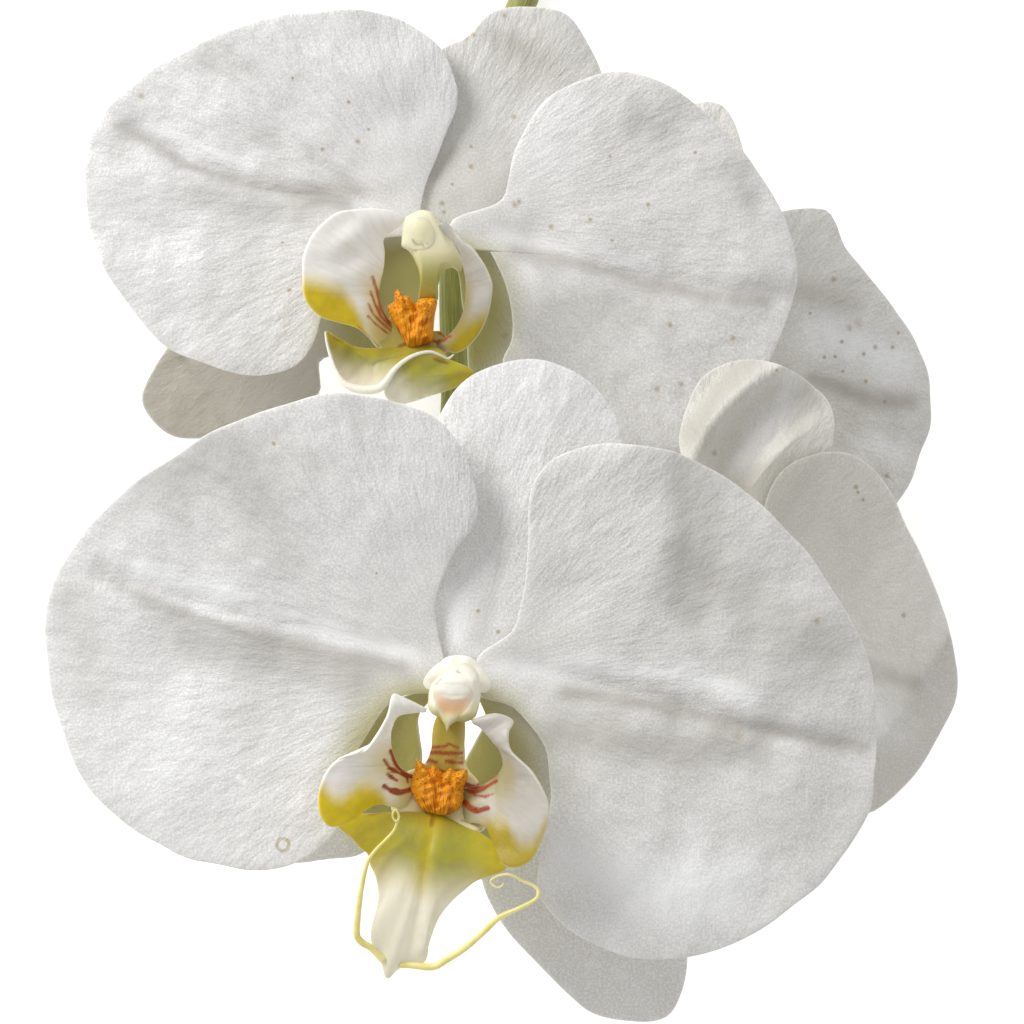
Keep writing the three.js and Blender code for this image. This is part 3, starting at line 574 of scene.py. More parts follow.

# Painted shade and painted light: soft darker and lighter streaks and patches seen on the petals,
# by pixel: the line, its half width in pixels and how dark it is, or how light where less than 0.
SHADING_STREAKS = {
    "a_petal_left": [
        ([(103, 577), (147, 601), (200, 620), (264, 637), (317, 650), (400, 666)], 8, 0.4),
        ([(190, 640), (280, 664), (360, 678)], 20, 0.3),
        ([(150, 470), (216, 455), (262, 500)], 42, 0.28),
        ([(140, 570), (216, 592), (280, 610), (360, 637), (410, 653)], 11, -0.65),
        ([(243, 600), (307, 607), (360, 627)], 3, 0.15),
        ([(70, 600), (90, 690)], 20, 0.15),
        ([(352, 399), (360, 440)], 7, 0.15),
        ([(180, 760), (260, 800)], 60, -0.15),
    ],
    "a_petal_right": [
        ([(491, 667), (586, 664), (693, 674), (747, 699)], 11, -0.45),
        ([(565, 692), (613, 699), (667, 709), (731, 723), (800, 737), (864, 749)], 8, 0.4),
        ([(560, 730), (613, 741), (683, 750), (750, 748)], 20, 0.3),
        ([(720, 590), (780, 620), (830, 650)], 34, 0.22),
        ([(700, 470), (708, 540), (696, 600)], 26, 0.16),
        ([(680, 470), (686, 544), (670, 604)], 9, 0.2),
        ([(560, 850), (640, 890), (720, 890)], 44, -0.45),
    ],
    "b_petal_left": [
        ([(118, 124), (156, 144), (181, 164), (232, 179), (293, 192), (345, 206)], 8, 0.45),
        ([(205, 60), (247, 71)], 16, 0.25),
        ([(110, 147), (131, 177)], 14, 0.12),
        ([(257, 137), (275, 143)], 9, 0.25),
        ([(190, 190), (247, 206), (300, 210)], 15, 0.25),
        ([(293, 137), (333, 172), (366, 200)], 3, 0.2),
        ([(330, 160), (362, 190)], 2.5, 0.15),
        ([(150, 125), (190, 145), (250, 166)], 8, -0.45),
    ],
    "b_petal_right": [
        ([(515, 251), (587, 266), (648, 282), (704, 297), (764, 302)], 9, 0.42),
        ([(496, 231), (572, 246), (648, 266)], 9, -0.5),
        ([(638, 117), (663, 132)], 18, 0.2),
        ([(734, 167), (749, 203)], 12, 0.22),
        ([(572, 304), (648, 320)], 26, 0.2),
        ([(560, 120), (540, 180)], 26, -0.2),
    ],
    "b_dorsal_sepal": [
        ([(516, 44), (536, 56)], 17, 0.4),
        ([(452, 150), (436, 176)], 6, 0.25),
        ([(560, 105), (520, 130)], 14, -0.3),
    ],
    "a_dorsal_sepal": [([(450, 600), (456, 640)], 8, -0.4), ([(500, 560), (480, 640)], 8, 0.2)],
    "c_petal_right": [
        ([(815, 378), (875, 398), (917, 400)], 9, 0.42),
        ([(815, 335), (860, 345), (900, 360)], 22, -0.5),
        ([(880, 445), (905, 455)], 18, -0.4),
        ([(800, 290), (850, 300)], 14, 0.25),
    ],
    "d_petal_left": [
        ([(790, 385), (765, 425), (728, 472)], 12, -0.3),
        ([(750, 362), (718, 390), (694, 436)], 13, 0.3),
        ([(812, 430), (785, 455), (760, 475)], 9, 0.3),
    ],
    "d_petal_right": [
        ([(800, 640), (880, 675), (930, 690)], 8, 0.3),
        ([(850, 700), (900, 730)], 26, -0.3),
    ],
}

# Where a blade's root reaches in under the column: its outline within the distance of the
# bloom's centre runs through these points instead, counterclockwise.
ROOTS = {
    "a_petal_left": (6, [(-2.8, -2.2), (-2.2, 1.6)]),
    "a_petal_right": (7, [(2.4, 2.2), (2.3, 0), (2.3, -2.6)]),
    "a_dorsal_sepal": (6, [(-3.2, 1.6), (2.8, 1.6)]),
    "b_petal_left": (11.5, [(-7.5, -3.4), (-2.6, -2.4), (-2.4, 0.8)]),
    "b_petal_right": (6, [(2, -1.2), (2.2, -3.4), (3.8, -5)]),
    "b_dorsal_sepal": (11, [(-4.4, 5), (-3.2, 1.2), (2.2, -1.8), (6, -2), (10, 0.5)]),
}

# Where a blade's edge is drawn out a little: the pixel, the half width and how far.
LUGS = {"b_petal_right": ((675, 448), 2.2, 1.6)}

# Valleys seen on the petals, by pixel: the line, its depth and its half width.
VALLEYS = {
    "a_petal_left": [([(440, 660), (328, 635), (246, 614), (164, 593), (103, 573)], 0.9, 1.7)],
    "a_petal_right": [([(482, 662), (576, 676), (687, 708), (769, 733), (872, 749)], 0.9, 1.7)],
    "b_petal_left": [([(410, 207), (375, 202), (294, 193), (196, 163), (131, 124), (104, 111)], 0.9, 1.7)],
    "b_petal_right": [([(471, 229), (543, 246), (614, 268), (704, 289), (793, 296)], 1.0, 1.9)],
    "c_petal_right": [([(760, 415), (850, 425), (928, 437)], 0.5, 2)],
    "d_petal_right": [([(760, 640), (880, 675), (950, 690)], 0.5, 2)],
}
# The bend across the upper half of bloom a's right petal, by pixel: right of this line the petal
# falls away by this depth over this width, down to about this row.
BEND = [(663, 462), (671, 544), (656, 602), (640, 650)]
BEND_DEPTH = 1.1
BEND_WIDTH = 9
BEND_ROWS = (560, 660)

# The folded petal of bloom d, as in its solid.
FOLD_CENTRE = (15.8, 5.8)
FOLD_RADIUS = 23.8
MARGIN_RADIUS = 13.5
FOLD_HEIGHT = 4.6
FOLD_WIDTH = 2.4
MARGIN_HEIGHT = 2
MARGIN_WIDTH = 1.5
FOLDED_LIFT = 7.5
FOLDED_REACH = 14

# Where the green of the throat shows on the petals round a lip: partly their own green base, partly
# painted shade.
THROAT_OFFSET = (-2.8, -13.6)
THROAT_GREEN_REACH = (9.5, 17)
THROAT_SHADE = 0.45
PETAL_GREEN = {"a": 0.92, "b": 0.72, "c": 0.5, "d": 0.5}
SEPAL_GREEN = 0.95
# How high over its bloom's centre, in the picture, the green has faded, and over what length.
GREEN_STARTS = {"a": 1.5, "b": -2}
GREEN_FADE = 3.5

# Waves in a blade's edge, in its face and in the widths of its painted shading streaks: how high
# and how long.
EDGE_WAVE = (0.1, 9)
FACE_WAVE = (0.22, 16)
SHADING_WAVE = (0.2, 64)
# How far from its bloom's centre a blade's veins start, and over what length, how many there are
# to a radian, and how fast they change outwards.
VEINS_START = (5, 24)
VEIN_COUNT = 34
VEIN_PACE = 0.16


def tepal_height(node, x, y):
    """The height of a blade's middle over its bloom's centre."""
    if node == "d_petal_left":
        reach = smooth(np.hypot(x, y) / FOLDED_REACH)
        q = np.hypot(x - FOLD_CENTRE[0], y - FOLD_CENTRE[1])
        ridge = FOLD_HEIGHT * bell(q - FOLD_RADIUS, FOLD_WIDTH)
        margin = MARGIN_HEIGHT * bell(q - MARGIN_RADIUS, MARGIN_WIDTH)
        return PETAL_LAYER + (FOLDED_LIFT + ridge + margin) * reach
    turn, layer, rise, droop, cup, wing = SHAPES[node]
    angle = math.radians(turn)
    along = x * math.cos(angle) + y * math.sin(angle)
    across = y * math.cos(angle) - x * math.sin(angle)
    out = np.maximum(along - SEAT_RADIUS, 0)
    spread = np.maximum(np.hypot(x, y) - SEAT_RADIUS, 0)
    sides = cup * across ** 2 + wing * (np.hypot(across, 2) - 2)
    return layer + rise * out + droop * out ** 2 + sides * smooth(spread / SEAT_BLEND)


def rooted(node, rim):
    """A blade's outline with its root drawn in under the column."""
    centre = np.array(CENTRES[node[0]][:2])
    reach, root = ROOTS[node]
    kept = np.hypot(*(rim - centre).T) > reach
    start = next(i for i in range(len(rim)) if kept[i] and not kept[i - 1])
    rim, kept = np.roll(rim, -start, axis=0), np.roll(kept, -start)
    return np.vstack([rim[kept], np.array(root) + centre])


def blade_loop(node, detail, seed):
    """A blade's outline as a fine, slightly wavy loop, and the heart of its rings."""
    rim, heart = cad_rim(node)
    if node in ROOTS:
        rim = rooted(node, rim)
    loop = smooth_line(rim, int(LOOP_POINTS * detail), closed=True)
    outward = loop - heart
    outward /= np.linalg.norm(outward, axis=1, keepdims=True)
    if node in LUGS:
        pixel, width, reach = LUGS[node]
        gap = np.hypot(*(loop - seen(*pixel, CENTRES[node[0]][2])).T)
        loop = loop + outward * (reach * bell(gap, width))[:, None]
    high, size = EDGE_WAVE
    return loop + outward * (high * ripple(*loop.T, size, seed))[:, None], heart


def blade_height(node, x, y, px, py, seed):
    """The height of a blade's finished middle over its bloom's centre."""
    cx, cy, cz = CENTRES[node[0]]
    spread = np.hypot(x, y)
    height = tepal_height(node, x, y)
    for line, deep, width in VALLEYS.get(node, []):
        gap, _ = distance_to(x + cx, y + cy, [seen(*pixel, cz) for pixel in line])
        height -= deep * bell(gap, width) * step(spread, SEAT_RADIUS, SEAT_BLEND)
    if node == "a_petal_right":
        columns, rows = zip(*BEND)
        beyond = (px - np.interp(py, rows, columns)) * (CAMERA_HEIGHT - cz) / FOCAL_PIXELS
        fade = 1 - step(py, BEND_ROWS[0], BEND_ROWS[1] - BEND_ROWS[0])
        height -= BEND_DEPTH * smooth(beyond / BEND_WIDTH + 0.2) * fade
    high, size = FACE_WAVE
    height += high * ripple(x, y, size, seed + 50) * step(spread, 2 * SEAT_RADIUS, 12)
    return np.maximum(height, CAD_BLADE / 2 - cz)


def blade_masks(node, x, y, px, py, depth, seed):
    """Where a blade is veined or green, where it has painted shade, painted light or a warmer grey of
    painted shade, and where its edge is.
    """
    # The throat's green, partly the petals' own and partly painted shade, fades outwards from the throat.
    start, end = THROAT_GREEN_REACH
    throat = np.hypot(x - THROAT_OFFSET[0], y - THROAT_OFFSET[1])
    green = 1 - step(throat, start, end - start)
    green *= PETAL_GREEN[node[0]] if "petal" in node else SEPAL_GREEN
    if node[0] in GREEN_STARTS:
        green *= smooth((GREEN_STARTS[node[0]] - y) / GREEN_FADE)
    if "dorsal" in node:
        green *= 0.2
    # Painted shade over the whole of a blade that lies in shadow.
    shade = np.full_like(x, BLADE_SHADE.get(node, 0.0))
    light = np.zeros_like(x)
    uneven, size = SHADING_WAVE
    uneven = 1 + uneven * ripple(px, py, size, seed + 90)
    # Painted shade and painted light along each streak.
    for line, width, darkness in SHADING_STREAKS.get(node, []):
        gap, _ = distance_to(px, py, line)
        share = min(0.95, SHADING_STRENGTH * abs(darkness)) * bell(gap * uneven, width)
        if darkness > 0:
            shade = shade + share * (1 - shade)
        else:
            light = np.maximum(light, share)
    if "sepal_" in node:
        shade = np.maximum(shade, THROAT_SHADE * green)
    return {
        "shade": shade,
        "light": light,
        "out": step(np.hypot(x, y), *VEINS_START),
        "edge": 1 - smooth(depth / 0.4),
        "green": green,
        # The warmer grey of painted shade.
        "warm_shade": np.full_like(x, WARM_SHADE_SHARES.get(node, WARM_SHADE_SHARES[node[0]])),
    }


def skinned(name, node, points, faces, half, material, masks, flow):
    """A blade in the place of its node, from its middle sheet."""
    points, faces, owner = thickened(points, faces, half)
    masks = {key: values[owner] for key, values in masks.items()}
    fit(mesh_piece(name, points, faces, material, masks, flow[owner]), node)


def make_tepal(node, material, seed):
    cx, cy, cz = CENTRES[node[0]]
    detail = 1 if node[:7] in ("a_petal", "b_petal") else PLAIN_SHARE
    loop, heart = blade_loop(node, detail, seed)
    places, depth, faces = disc(heart, loop, int(FIELD_RINGS * detail), EDGE_RINGS)
    x, y = places[:, 0] - cx, places[:, 1] - cy
    plain = np.zeros_like(x)
    px, py = pixels(np.column_stack([x, y, plain]), node[0])
    points = np.column_stack([places, blade_height(node, x, y, px, py, seed) + cz])
    bearing = np.arctan2(y, x) - math.radians(SHAPES[node][0])
    bearing = np.arctan2(np.sin(bearing), np.cos(bearing))
    flow = np.column_stack([bearing * VEIN_COUNT + seed * 70, np.hypot(x, y) * VEIN_PACE, plain])
    half = edge_half(depth, PETAL_THICKNESS, EDGE_WIDTH)
    masks = blade_masks(node, x, y, px, py, depth, seed)
    skinned(node + "_blade", node, points, faces, half, material, masks, flow)


# Lips

# A lip's claw, middle lobe and side lobes, as in its solid: outlines round a heart, and side
# lobes between an outer and an inner edge, from the bloom's centre.
LIP_SHAPES = {
    "a": {
        "claw": ((-3, -17, 5.4), [
            (-2.6, -4.8, 4.8), (0.2, -4.8, 4.8), (0.6, -9.5, 4.6), (1, -12.4, 4.8), (2.8, -14.8, 5.2),
            (3.6, -17.8, 5.8), (3.4, -21, 6.6), (-3.4, -21.6, 6.2), (-6.8, -20.8, 6.2), (-9.3, -18.6, 6.4),
            (-9, -16.1, 5.8), (-7.6, -13.4, 5.2), (-4.9, -12.1, 4.8), (-3.7, -9.6, 4.6),
        ]),
        "middle_lobe": ((-5, -25, 9), [
            (-17.1, -19.8, 9), (-15.6, -19, 8.4), (-13.1, -18.8, 7.6), (-9.1, -18.6, 6.6),
            (-6.1, -18.6, 6.1), (-2.7, -19, 5.9), (0.6, -20.4, 6.2), (2.5, -21.3, 6.8), (4.5, -22.5, 7.6),
            (6.4, -24.5, 8.6), (6.5, -26.1, 9), (4.3, -27.2, 8.8), (2.2, -28, 8.6), (0.7, -29.2, 8.5),
            (-1.1, -30.8, 8.5), (-2.9, -33.2, 8.5), (-4.4, -37.6, 7.5), (-4.7, -39.1, 7),
            (-8.3, -40.2, 6.2), (-10, -41.6, 6), (-10.8, -39.3, 6.6), (-12.2, -35.6, 8),
            (-11.1, -30.2, 8.5), (-11.5, -27.4, 8.5), (-12.3, -25.6, 8.5), (-12.6, -24.2, 8.6),
            (-13.8, -23.2, 8.7), (-15, -21.8, 8.9), (-16.5, -20.6, 9),
        ]),
        "left_lobe": ([
            (-4.4, -4.3, 9), (-7.8, -2.6, 10.5), (-9, -2.2, 11), (-9.9, -5.3, 12), (-11.5, -8.1, 12.7),
            (-13.15, -10, 13), (-16.7, -11.25, 13.6), (-18.2, -13, 13.9), (-19.1, -15.9, 14),
            (-18.9, -18.4, 14), (-17.75, -20.05, 13.4), (-16.2, -20.1, 12.6), (-14.2, -19.05, 11.2),
            (-12.7, -18, 10), (-10.9, -17.45, 8.6), (-9.1, -17.9, 7.2), (-7.2, -18, 6),
        ], [
            (-4.6, -4.8, 9.1), (-7.3, -5, 9.9), (-8.3, -5.3, 10), (-8.8, -5.8, 9.8), (-9.3, -7, 9.3),
            (-9.4, -7.6, 9.05), (-9.4, -8.2, 8.8), (-9.4, -8.7, 8.5), (-9.4, -9.1, 8.3), (-9.3, -9.8, 8),
            (-9.1, -10.4, 7.7), (-8.9, -11, 7.4), (-8.7, -11.5, 7.1), (-8.4, -12.1, 6.7),
            (-7.9, -12.7, 6.2), (-7, -13.3, 5.8), (-5.4, -13.4, 5),
        ]),
        "right_lobe": ([
            (1.6, -5.8, 9), (5.2, -4.9, 10.4), (7.4, -5.9, 11), (6.8, -7.4, 12), (7, -9.7, 12.5),
            (10.1, -12.9, 14), (12.1, -16.9, 15), (12, -19.6, 15), (10.85, -22.7, 14), (10.2, -24.2, 13.6),
            (8.8, -25.45, 13), (7.2, -25.85, 12.4), (5.85, -25.3, 11.8), (5.1, -23.8, 11),
            (4.4, -21.9, 10), (3.6, -20.5, 8.8), (2.4, -20.1, 7.6), (0.6, -20.2, 6),
        ], [
            (1.8, -6.3, 9.1), (2.7, -6.8, 9.4), (3.3, -7.4, 9.5), (3.9, -8, 9.5), (4.6, -8.7, 9.4),
            (5.3, -9.5, 9.2), (5.8, -10.6, 8.7), (6, -11.4, 8.3), (6, -12.1, 8), (5.8, -12.6, 7.8),
            (5.6, -13, 7.6), (5.3, -13.4, 7.4), (4.9, -13.8, 7.1), (4.5, -14.1, 6.9), (4, -14.4, 6.6),
            (3.2, -14.9, 6.2), (1.8, -15.1, 5.7), (0.2, -15.1, 5.2),
        ]),
    },
    "b": {
        "claw": ((-3.2, -17.5, 5.6), [
            (-1.4, -5.6, 4.3), (-0.6, -5.6, 4.3), (-0.4, -9.7, 4.6), (-0.6, -17.1, 5.2), (1.4, -17.7, 5.6),
            (1.1, -20.5, 6.2), (-2.3, -21.1, 6.4), (-5.8, -20.8, 6.4), (-8.2, -19.1, 6.2),
            (-8, -16.3, 5.6), (-5.4, -14.4, 5), (-2, -12.6, 4.6), (-1.4, -8, 4.6),
        ]),
        "left_lobe": ([
            (-4.4, -1, 8.8), (-6.5, -0.15, 9.8), (-8.95, 0.05, 11), (-11.45, -0.15, 11.9),
            (-13.85, -0.65, 12.6), (-17.05, -3.5, 13.6), (-18.5, -6.8, 14), (-18.6, -9.9, 14),
            (-18.3, -12.75, 13.8), (-16.3, -15.15, 12.4), (-13.7, -16, 11), (-11.25, -16.65, 9.6),
            (-9.5, -18.05, 7.6), (-8.2, -19.4, 6), (-6.6, -19.3, 5.4), (-5.2, -18.8, 5),
        ], [
            (-4.4, -1.35, 8.6), (-5.3, -2.45, 8.8), (-6.2, -3.05, 9), (-6.95, -3.5, 9), (-7.45, -4.4, 8.9),
            (-7.3, -5.65, 8.6), (-7.3, -6.75, 8.3), (-7.4, -7.9, 8), (-7.6, -8.85, 7.7),
            (-7.85, -9.75, 7.5), (-8.05, -10.65, 7.2), (-8.15, -11.6, 7), (-8.05, -12.6, 6.7),
            (-7.65, -13.85, 6.4), (-6.75, -15.5, 5.8), (-5.9, -16.6, 5.2),
        ]),
        "right_lobe": ([
            (1.3, -1.65, 8.8), (2.35, -2.6, 9.6), (3.8, -4.45, 10.8), (5.05, -5.35, 12),
            (6.1, -6.75, 12.8), (7.15, -8.5, 13.4), (7.95, -10.8, 13.8), (7.75, -13.15, 13.6),
            (7.15, -15.55, 12.8), (6, -17.75, 11.4), (4.4, -19.45, 9.8), (2.95, -20.15, 8.4),
            (1.9, -19.95, 7), (0.2, -19.6, 5.6),
        ], [
            (-0.25, -2.05, 8.8), (0.9, -3.2, 9), (2.35, -4.45, 9.4), (3.4, -6.15, 9.8), (3.7, -7.2, 9.9),
            (3.95, -8.45, 10), (4.2, -10.1, 10), (4.2, -12.15, 9.8), (3.9, -14.15, 9.3), (3.15, -16, 8.4),
            (2.1, -17.3, 7.4), (1.05, -18, 6.4), (0, -18.15, 5.6), (-0.95, -18.2, 5.1),
        ]),
    },
}

# The turned-over middle lobe of lip b by pixel and height over the bloom's centre: the trough
# behind its rolled rim, the flap in front of it, and the rim with its radius.
TROUGH = [
    (325, 331, 11.2), (333, 335, 10.4), (353, 346, 8.4), (378, 348.5, 6.9), (400, 347, 6.2),
    (425, 345, 6.2), (440, 350, 7), (447.6, 358.6, 9.6), (439.6, 355, 10.6), (430.8, 352, 11.2),
    (422, 352.8, 11.6), (411.7, 356.4, 12), (401.4, 363, 12.2), (392.6, 371.8, 12.4), (386.8, 380.6, 12.4),
    (379.4, 388, 12.3), (366.2, 390, 12.2), (353, 388, 12.1), (342.8, 382.1, 12), (335.5, 370.4, 11.8),
    (330.3, 355.7, 11.6), (326.7, 342.5, 11.4),
]
TROUGH_HEART = (372, 365, 8.2)
FLAP = [
    (386.8, 380.6, 12.3), (392.6, 371.8, 12.2), (401.4, 363, 12), (411.7, 356.4, 11.8), (422, 352.8, 11.4),
    (430.8, 352, 11), (439.6, 355, 10.6), (447.6, 358.6, 10), (473, 371, 8.8), (472, 375, 8.6),
    (457, 386.5, 8.8), (445, 391, 9), (430.8, 395.6, 9.2), (405.8, 403.3, 9.8), (394, 403.5, 10.2),
    (388.3, 400.2, 10.6), (384, 392, 11.6),
]
FLAP_HEART = (422, 377, 11.2)
RIM_ROLL = [
    (325.2, 331.5, 11.2, 0.12), (326.7, 342.5, 11.4, 0.17), (330.3, 355.7, 11.6, 0.22),
    (335.5, 370.4, 11.9, 0.32), (342.8, 382.1, 12.1, 0.46), (353, 388, 12.2, 0.58),
    (366.2, 390.1, 12.3, 0.64), (379.4, 388, 12.4, 0.6), (386.8, 380.6, 12.5, 0.5),
    (392.6, 371.8, 12.5, 0.4), (401.4, 363, 12.3, 0.32), (411.7, 356.4, 12, 0.27),
    (422, 352.8, 11.6, 0.24), (430.8, 352, 11.2, 0.22), (439.6, 355, 10.7, 0.2),
    (447.6, 358.6, 10.1, 0.18), (454.2, 354.2, 9.6, 0.1),
]

# The tendrils of lip a by pixel, height over the bloom's centre and radius.
TENDRILS = [
    [
        (386, 962, 7, 0.6), (378.8, 955.2, 7.2, 0.55), (371.4, 947.9, 7.5, 0.5), (362, 942.5, 7.9, 0.5),
        (357, 935.8, 8.2, 0.5), (357, 923.8, 8.7, 0.48), (359, 905, 9.4, 0.42), (361.6, 887.6, 9.9, 0.36),
        (364.7, 872.9, 10.3, 0.3), (368.8, 859.5, 10.6, 0.26), (376.8, 848.8, 10.9, 0.24),
        (386.2, 839.4, 11, 0.22), (394.2, 830, 11.1, 0.2), (397, 822.6, 11.4, 0.19),
        (399, 816, 11.8, 0.17), (395.4, 809.4, 12, 0.15), (392.5, 815.2, 11.8, 0.14),
        (395.4, 821, 11.7, 0.13), (398, 819.6, 11.9, 0.1),
    ],
    [
        (398, 965, 6.6, 0.5), (406, 964.6, 6.7, 0.5), (414.3, 965.3, 6.9, 0.5), (427.7, 967, 7.2, 0.5),
        (436, 966, 7.4, 0.5), (446.4, 959.9, 7.8, 0.48), (465.2, 947.9, 8.6, 0.46),
        (483.9, 931.8, 9.6, 0.42), (500, 917.1, 10.4, 0.36), (517.4, 909, 11, 0.3),
        (530.8, 902.3, 11.2, 0.27), (537.5, 897, 11.2, 0.26), (538.2, 890.3, 11.1, 0.25),
        (533.5, 885.6, 11, 0.23), (522.8, 880.9, 10.8, 0.21), (514.7, 876.2, 10.7, 0.2),
        (508.7, 874.2, 10.6, 0.19), (497.3, 876.2, 10.5, 0.16), (490.6, 880.9, 10.6, 0.14),
        (493.3, 885.6, 10.7, 0.13), (498.7, 887.6, 10.8, 0.12), (502.7, 884.9, 10.9, 0.11),
        (504, 882.2, 11, 0.09),
    ],
]

# Where the yellow of the lips starts, by pixel, and its red stripes, by pixel and width.
YELLOW_EDGES = {
    "a": {
        "left_lobe": [
            (318, 781), (326, 789), (333, 796), (342, 797), (350, 790), (358, 784), (368, 783), (380, 790),
            (390, 808),
        ],
        "right_lobe": [
            (480, 823), (490, 820), (500, 818), (508, 821), (513, 833), (521, 843), (532, 844), (540, 835),
            (546, 822),
        ],
    },
    "b": {
        "left_lobe": [(303, 279), (320, 282), (341, 290), (353, 304), (361, 320), (368, 345)],
        "right_lobe": [(440, 352), (452, 338), (462, 326), (474, 318), (488, 312)],
    },
}
STRIPES = {
    "a": [
        ([(390.4, 751), (392.9, 759.6), (397.8, 767.9), (404.5, 774.5), (415, 779.5)], 4.6),
        ([(382.9, 760), (387.9, 767.9), (397.8, 773), (407, 778)], 3.4),
        ([(385.4, 773), (390.4, 777.5), (396.2, 781)], 2.6),
        ([(383.7, 786.1), (389.6, 790.3), (399.5, 792.5), (411, 789)], 5),
        ([(400, 769), (406, 775), (407, 783)], 3),
        ([(464, 785), (475.8, 787.8), (485.7, 782.8), (498, 774.5)], 5),
        ([(464, 789.5), (475.8, 793.5), (484.1, 789.5), (498, 781)], 3.6),
        ([(475.8, 796.6), (485.7, 797.4), (495, 794)], 2.4),
        ([(463, 800), (470.8, 807.7), (479.1, 811), (489, 808.5)], 5),
        ([(434.5, 747.6), (444.3, 746.6), (449.3, 743.8), (456.5, 747.6)], 2.6),
        ([(429, 753.8), (437.6, 752.6), (460.5, 753.2)], 4),
        ([(422.5, 762), (431, 760.4), (437, 762)], 3.2),
        ([(446.5, 761.3), (461.5, 762.9)], 3.4),
        ([(455, 757.6), (461.5, 758.4)], 2),
        ([(439, 770), (446, 770.8)], 2.4),
        ([(455, 771.2), (462, 770.4)], 2.4),
    ],
    "b": [
        ([(371.4, 276.5), (376.5, 292.6), (379.4, 307.3), (385.3, 319), (392, 327.5)], 2.8),
        ([(369, 291.2), (373.6, 304.4), (379.4, 316.1), (390.5, 328.3)], 2),
        ([(367, 302.9), (372.1, 314.6), (379.4, 322), (390.5, 331)], 2.2),
        ([(367, 316.1), (375, 324.2), (387, 333)], 1.8),
        ([(433, 319), (435.2, 330.8), (442.5, 337), (452, 337)], 3.4),
        ([(433, 341.8), (439.6, 342.5), (447.5, 339.6)], 3),
    ],
}
# Brown shadows in the folds between a lip's lobes.
FOLD_MARKS = {
    "a": [
        ([(368, 816), (380, 813.5), (393, 811.8)], 1.6),
        ([(462.5, 821), (478, 827), (492.4, 840.9)], 1.8),
        ([(432.7, 817.6), (431, 827)], 3),
    ],
    "b": [
        ([(358, 327), (368, 337), (379, 348)], 2),
        ([(334, 332.5), (352, 345), (372, 348)], 1.8),
        ([(400, 347), (409, 343), (420, 346)], 4),
        ([(434, 359), (447, 364)], 2.5),
    ],
}
# Where the green of a middle lobe gives way to white, by pixel.
GREEN_EDGES = {
    "a": [(340, 890), (375, 872), (395, 866), (428, 884), (455, 884), (475, 882), (505, 900)],
    "b": [(325, 358), (345, 366), (372, 372), (395, 374), (412, 388), (440, 390), (475, 402)],
}
# How dark the white of the side lobes is.
LOBE_SHADES = {
    "a": {"left_lobe": 0.0, "right_lobe": 0.78},
    "b": {"left_lobe": 0.0, "right_lobe": 0.97},
}
# A claw's middle by rows and columns of pixels, how much narrower than lip a's it is, how green
# it is and how olive.
NECKS = {
    "a": ((700, 780, 840), (449, 440, 430), 1, 0, 1),
    "b": ((260, 330, 350), (429, 412, 410), 0.5, 0.8, 0.4),
}
STRIPE_STRENGTH = {"a": 1, "b": 0.8}
# The middle vein of lip a, and the groove along its middle lobe, by pixel.
LIP_VEIN = [(434, 818), (426, 850), (420, 890)]
LIP_GROOVE = [(436, 812), (428, 850), (421, 900), (412, 950)]
# The yellow left end of lip b's trough, by pixel.
TROUGH_END = [(330, 338), (372, 352)]
# The middle of each front bloom's callus, by pixel.
LIP_MIDDLES = {"a": (438, 790), "b": (412, 322)}

LIP_WHITE = srgb(254, 250, 243)
LIP_SHADE = (0.42, 0.41, 0.39)
LIP_CREAM = srgb(226, 214, 158)
LIP_YELLOW = srgb(226, 200, 8)
LIP_GREEN = srgb(168, 162, 46)
NECK_OLIVE = srgb(182, 160, 58)
STRIPE_RED = srgb(142, 54, 10)
FOLD_SHADOW_BROWN = srgb(132, 78, 26)


def lip_material():
    shop = Shop("lip_skin")
    streak = shop.noise(shop.flow((1, 1, 1)), 1.0, 3.0, 0.6)
    grain = shop.noise(shop.place, 3.6, 3.0, 0.65)
    mottle = shop.noise(shop.place, 0.7, 2.0, 0.5)
    greens = shop.blend(mottle.ramp(0.35, 0.7), LIP_GREEN, srgb(160, 154, 58))
    yellows = shop.blend(mottle.ramp(0.3, 0.7), LIP_YELLOW, srgb(216, 190, 8))
    reds = shop.blend(grain.ramp(0.35, 0.7), STRIPE_RED, srgb(172, 84, 26))
    colour = shop.blend(streak.ramp(0.35, 0.8) * 0.5, LIP_WHITE, srgb(226, 216, 206))
    colour = shop.layered(
        colour, ("cream", LIP_CREAM), ("green", greens), ("olive", NECK_OLIVE), ("yellow", yellows),
    )
    colour = shop.blend(shop.mask("shade"), colour, LIP_SHADE, "MULTIPLY")
    # The brown mask is the painted shadow in the lip's folds.
    brown, edge = shop.mask("brown") * 0.75, shop.mask("edge") * 0.35
    # The pale edge colour is partly the lips' own pale rim and partly a painted highlight.
    colour = shop.layered(colour, (brown, FOLD_SHADOW_BROWN), ("red", reds), (edge, srgb(246, 240, 206)))
    return shop.finish(colour, streak * 0.4 + grain * 0.2 + mottle * 0.2, 0.14, 0.42, 0.25, 1.2)


def pixels(points, template):
    """The pixels at which the camera shows points of a front bloom's lip or column."""
    x, y, z = (points + np.array(CENTRES[template])).T
    scale = FOCAL_PIXELS / (CAMERA_HEIGHT - z)
    px = FRAME_PIXELS / 2 + (x - CAMERA_AT[0]) * scale
    py = FRAME_PIXELS / 2 - (y - CAMERA_AT[1]) * scale
    return px, py


def local(pixel_points, template):
    """Points from a front bloom's centre, given as pixels and heights, with what follows them."""
    cx, cy, cz = CENTRES[template]
    found = []
    for px, py, z, *rest in pixel_points:
        x, y = seen(px, py, cz + z)
        found.append((x - cx, y - cy, z, *rest))
    return np.array(found)


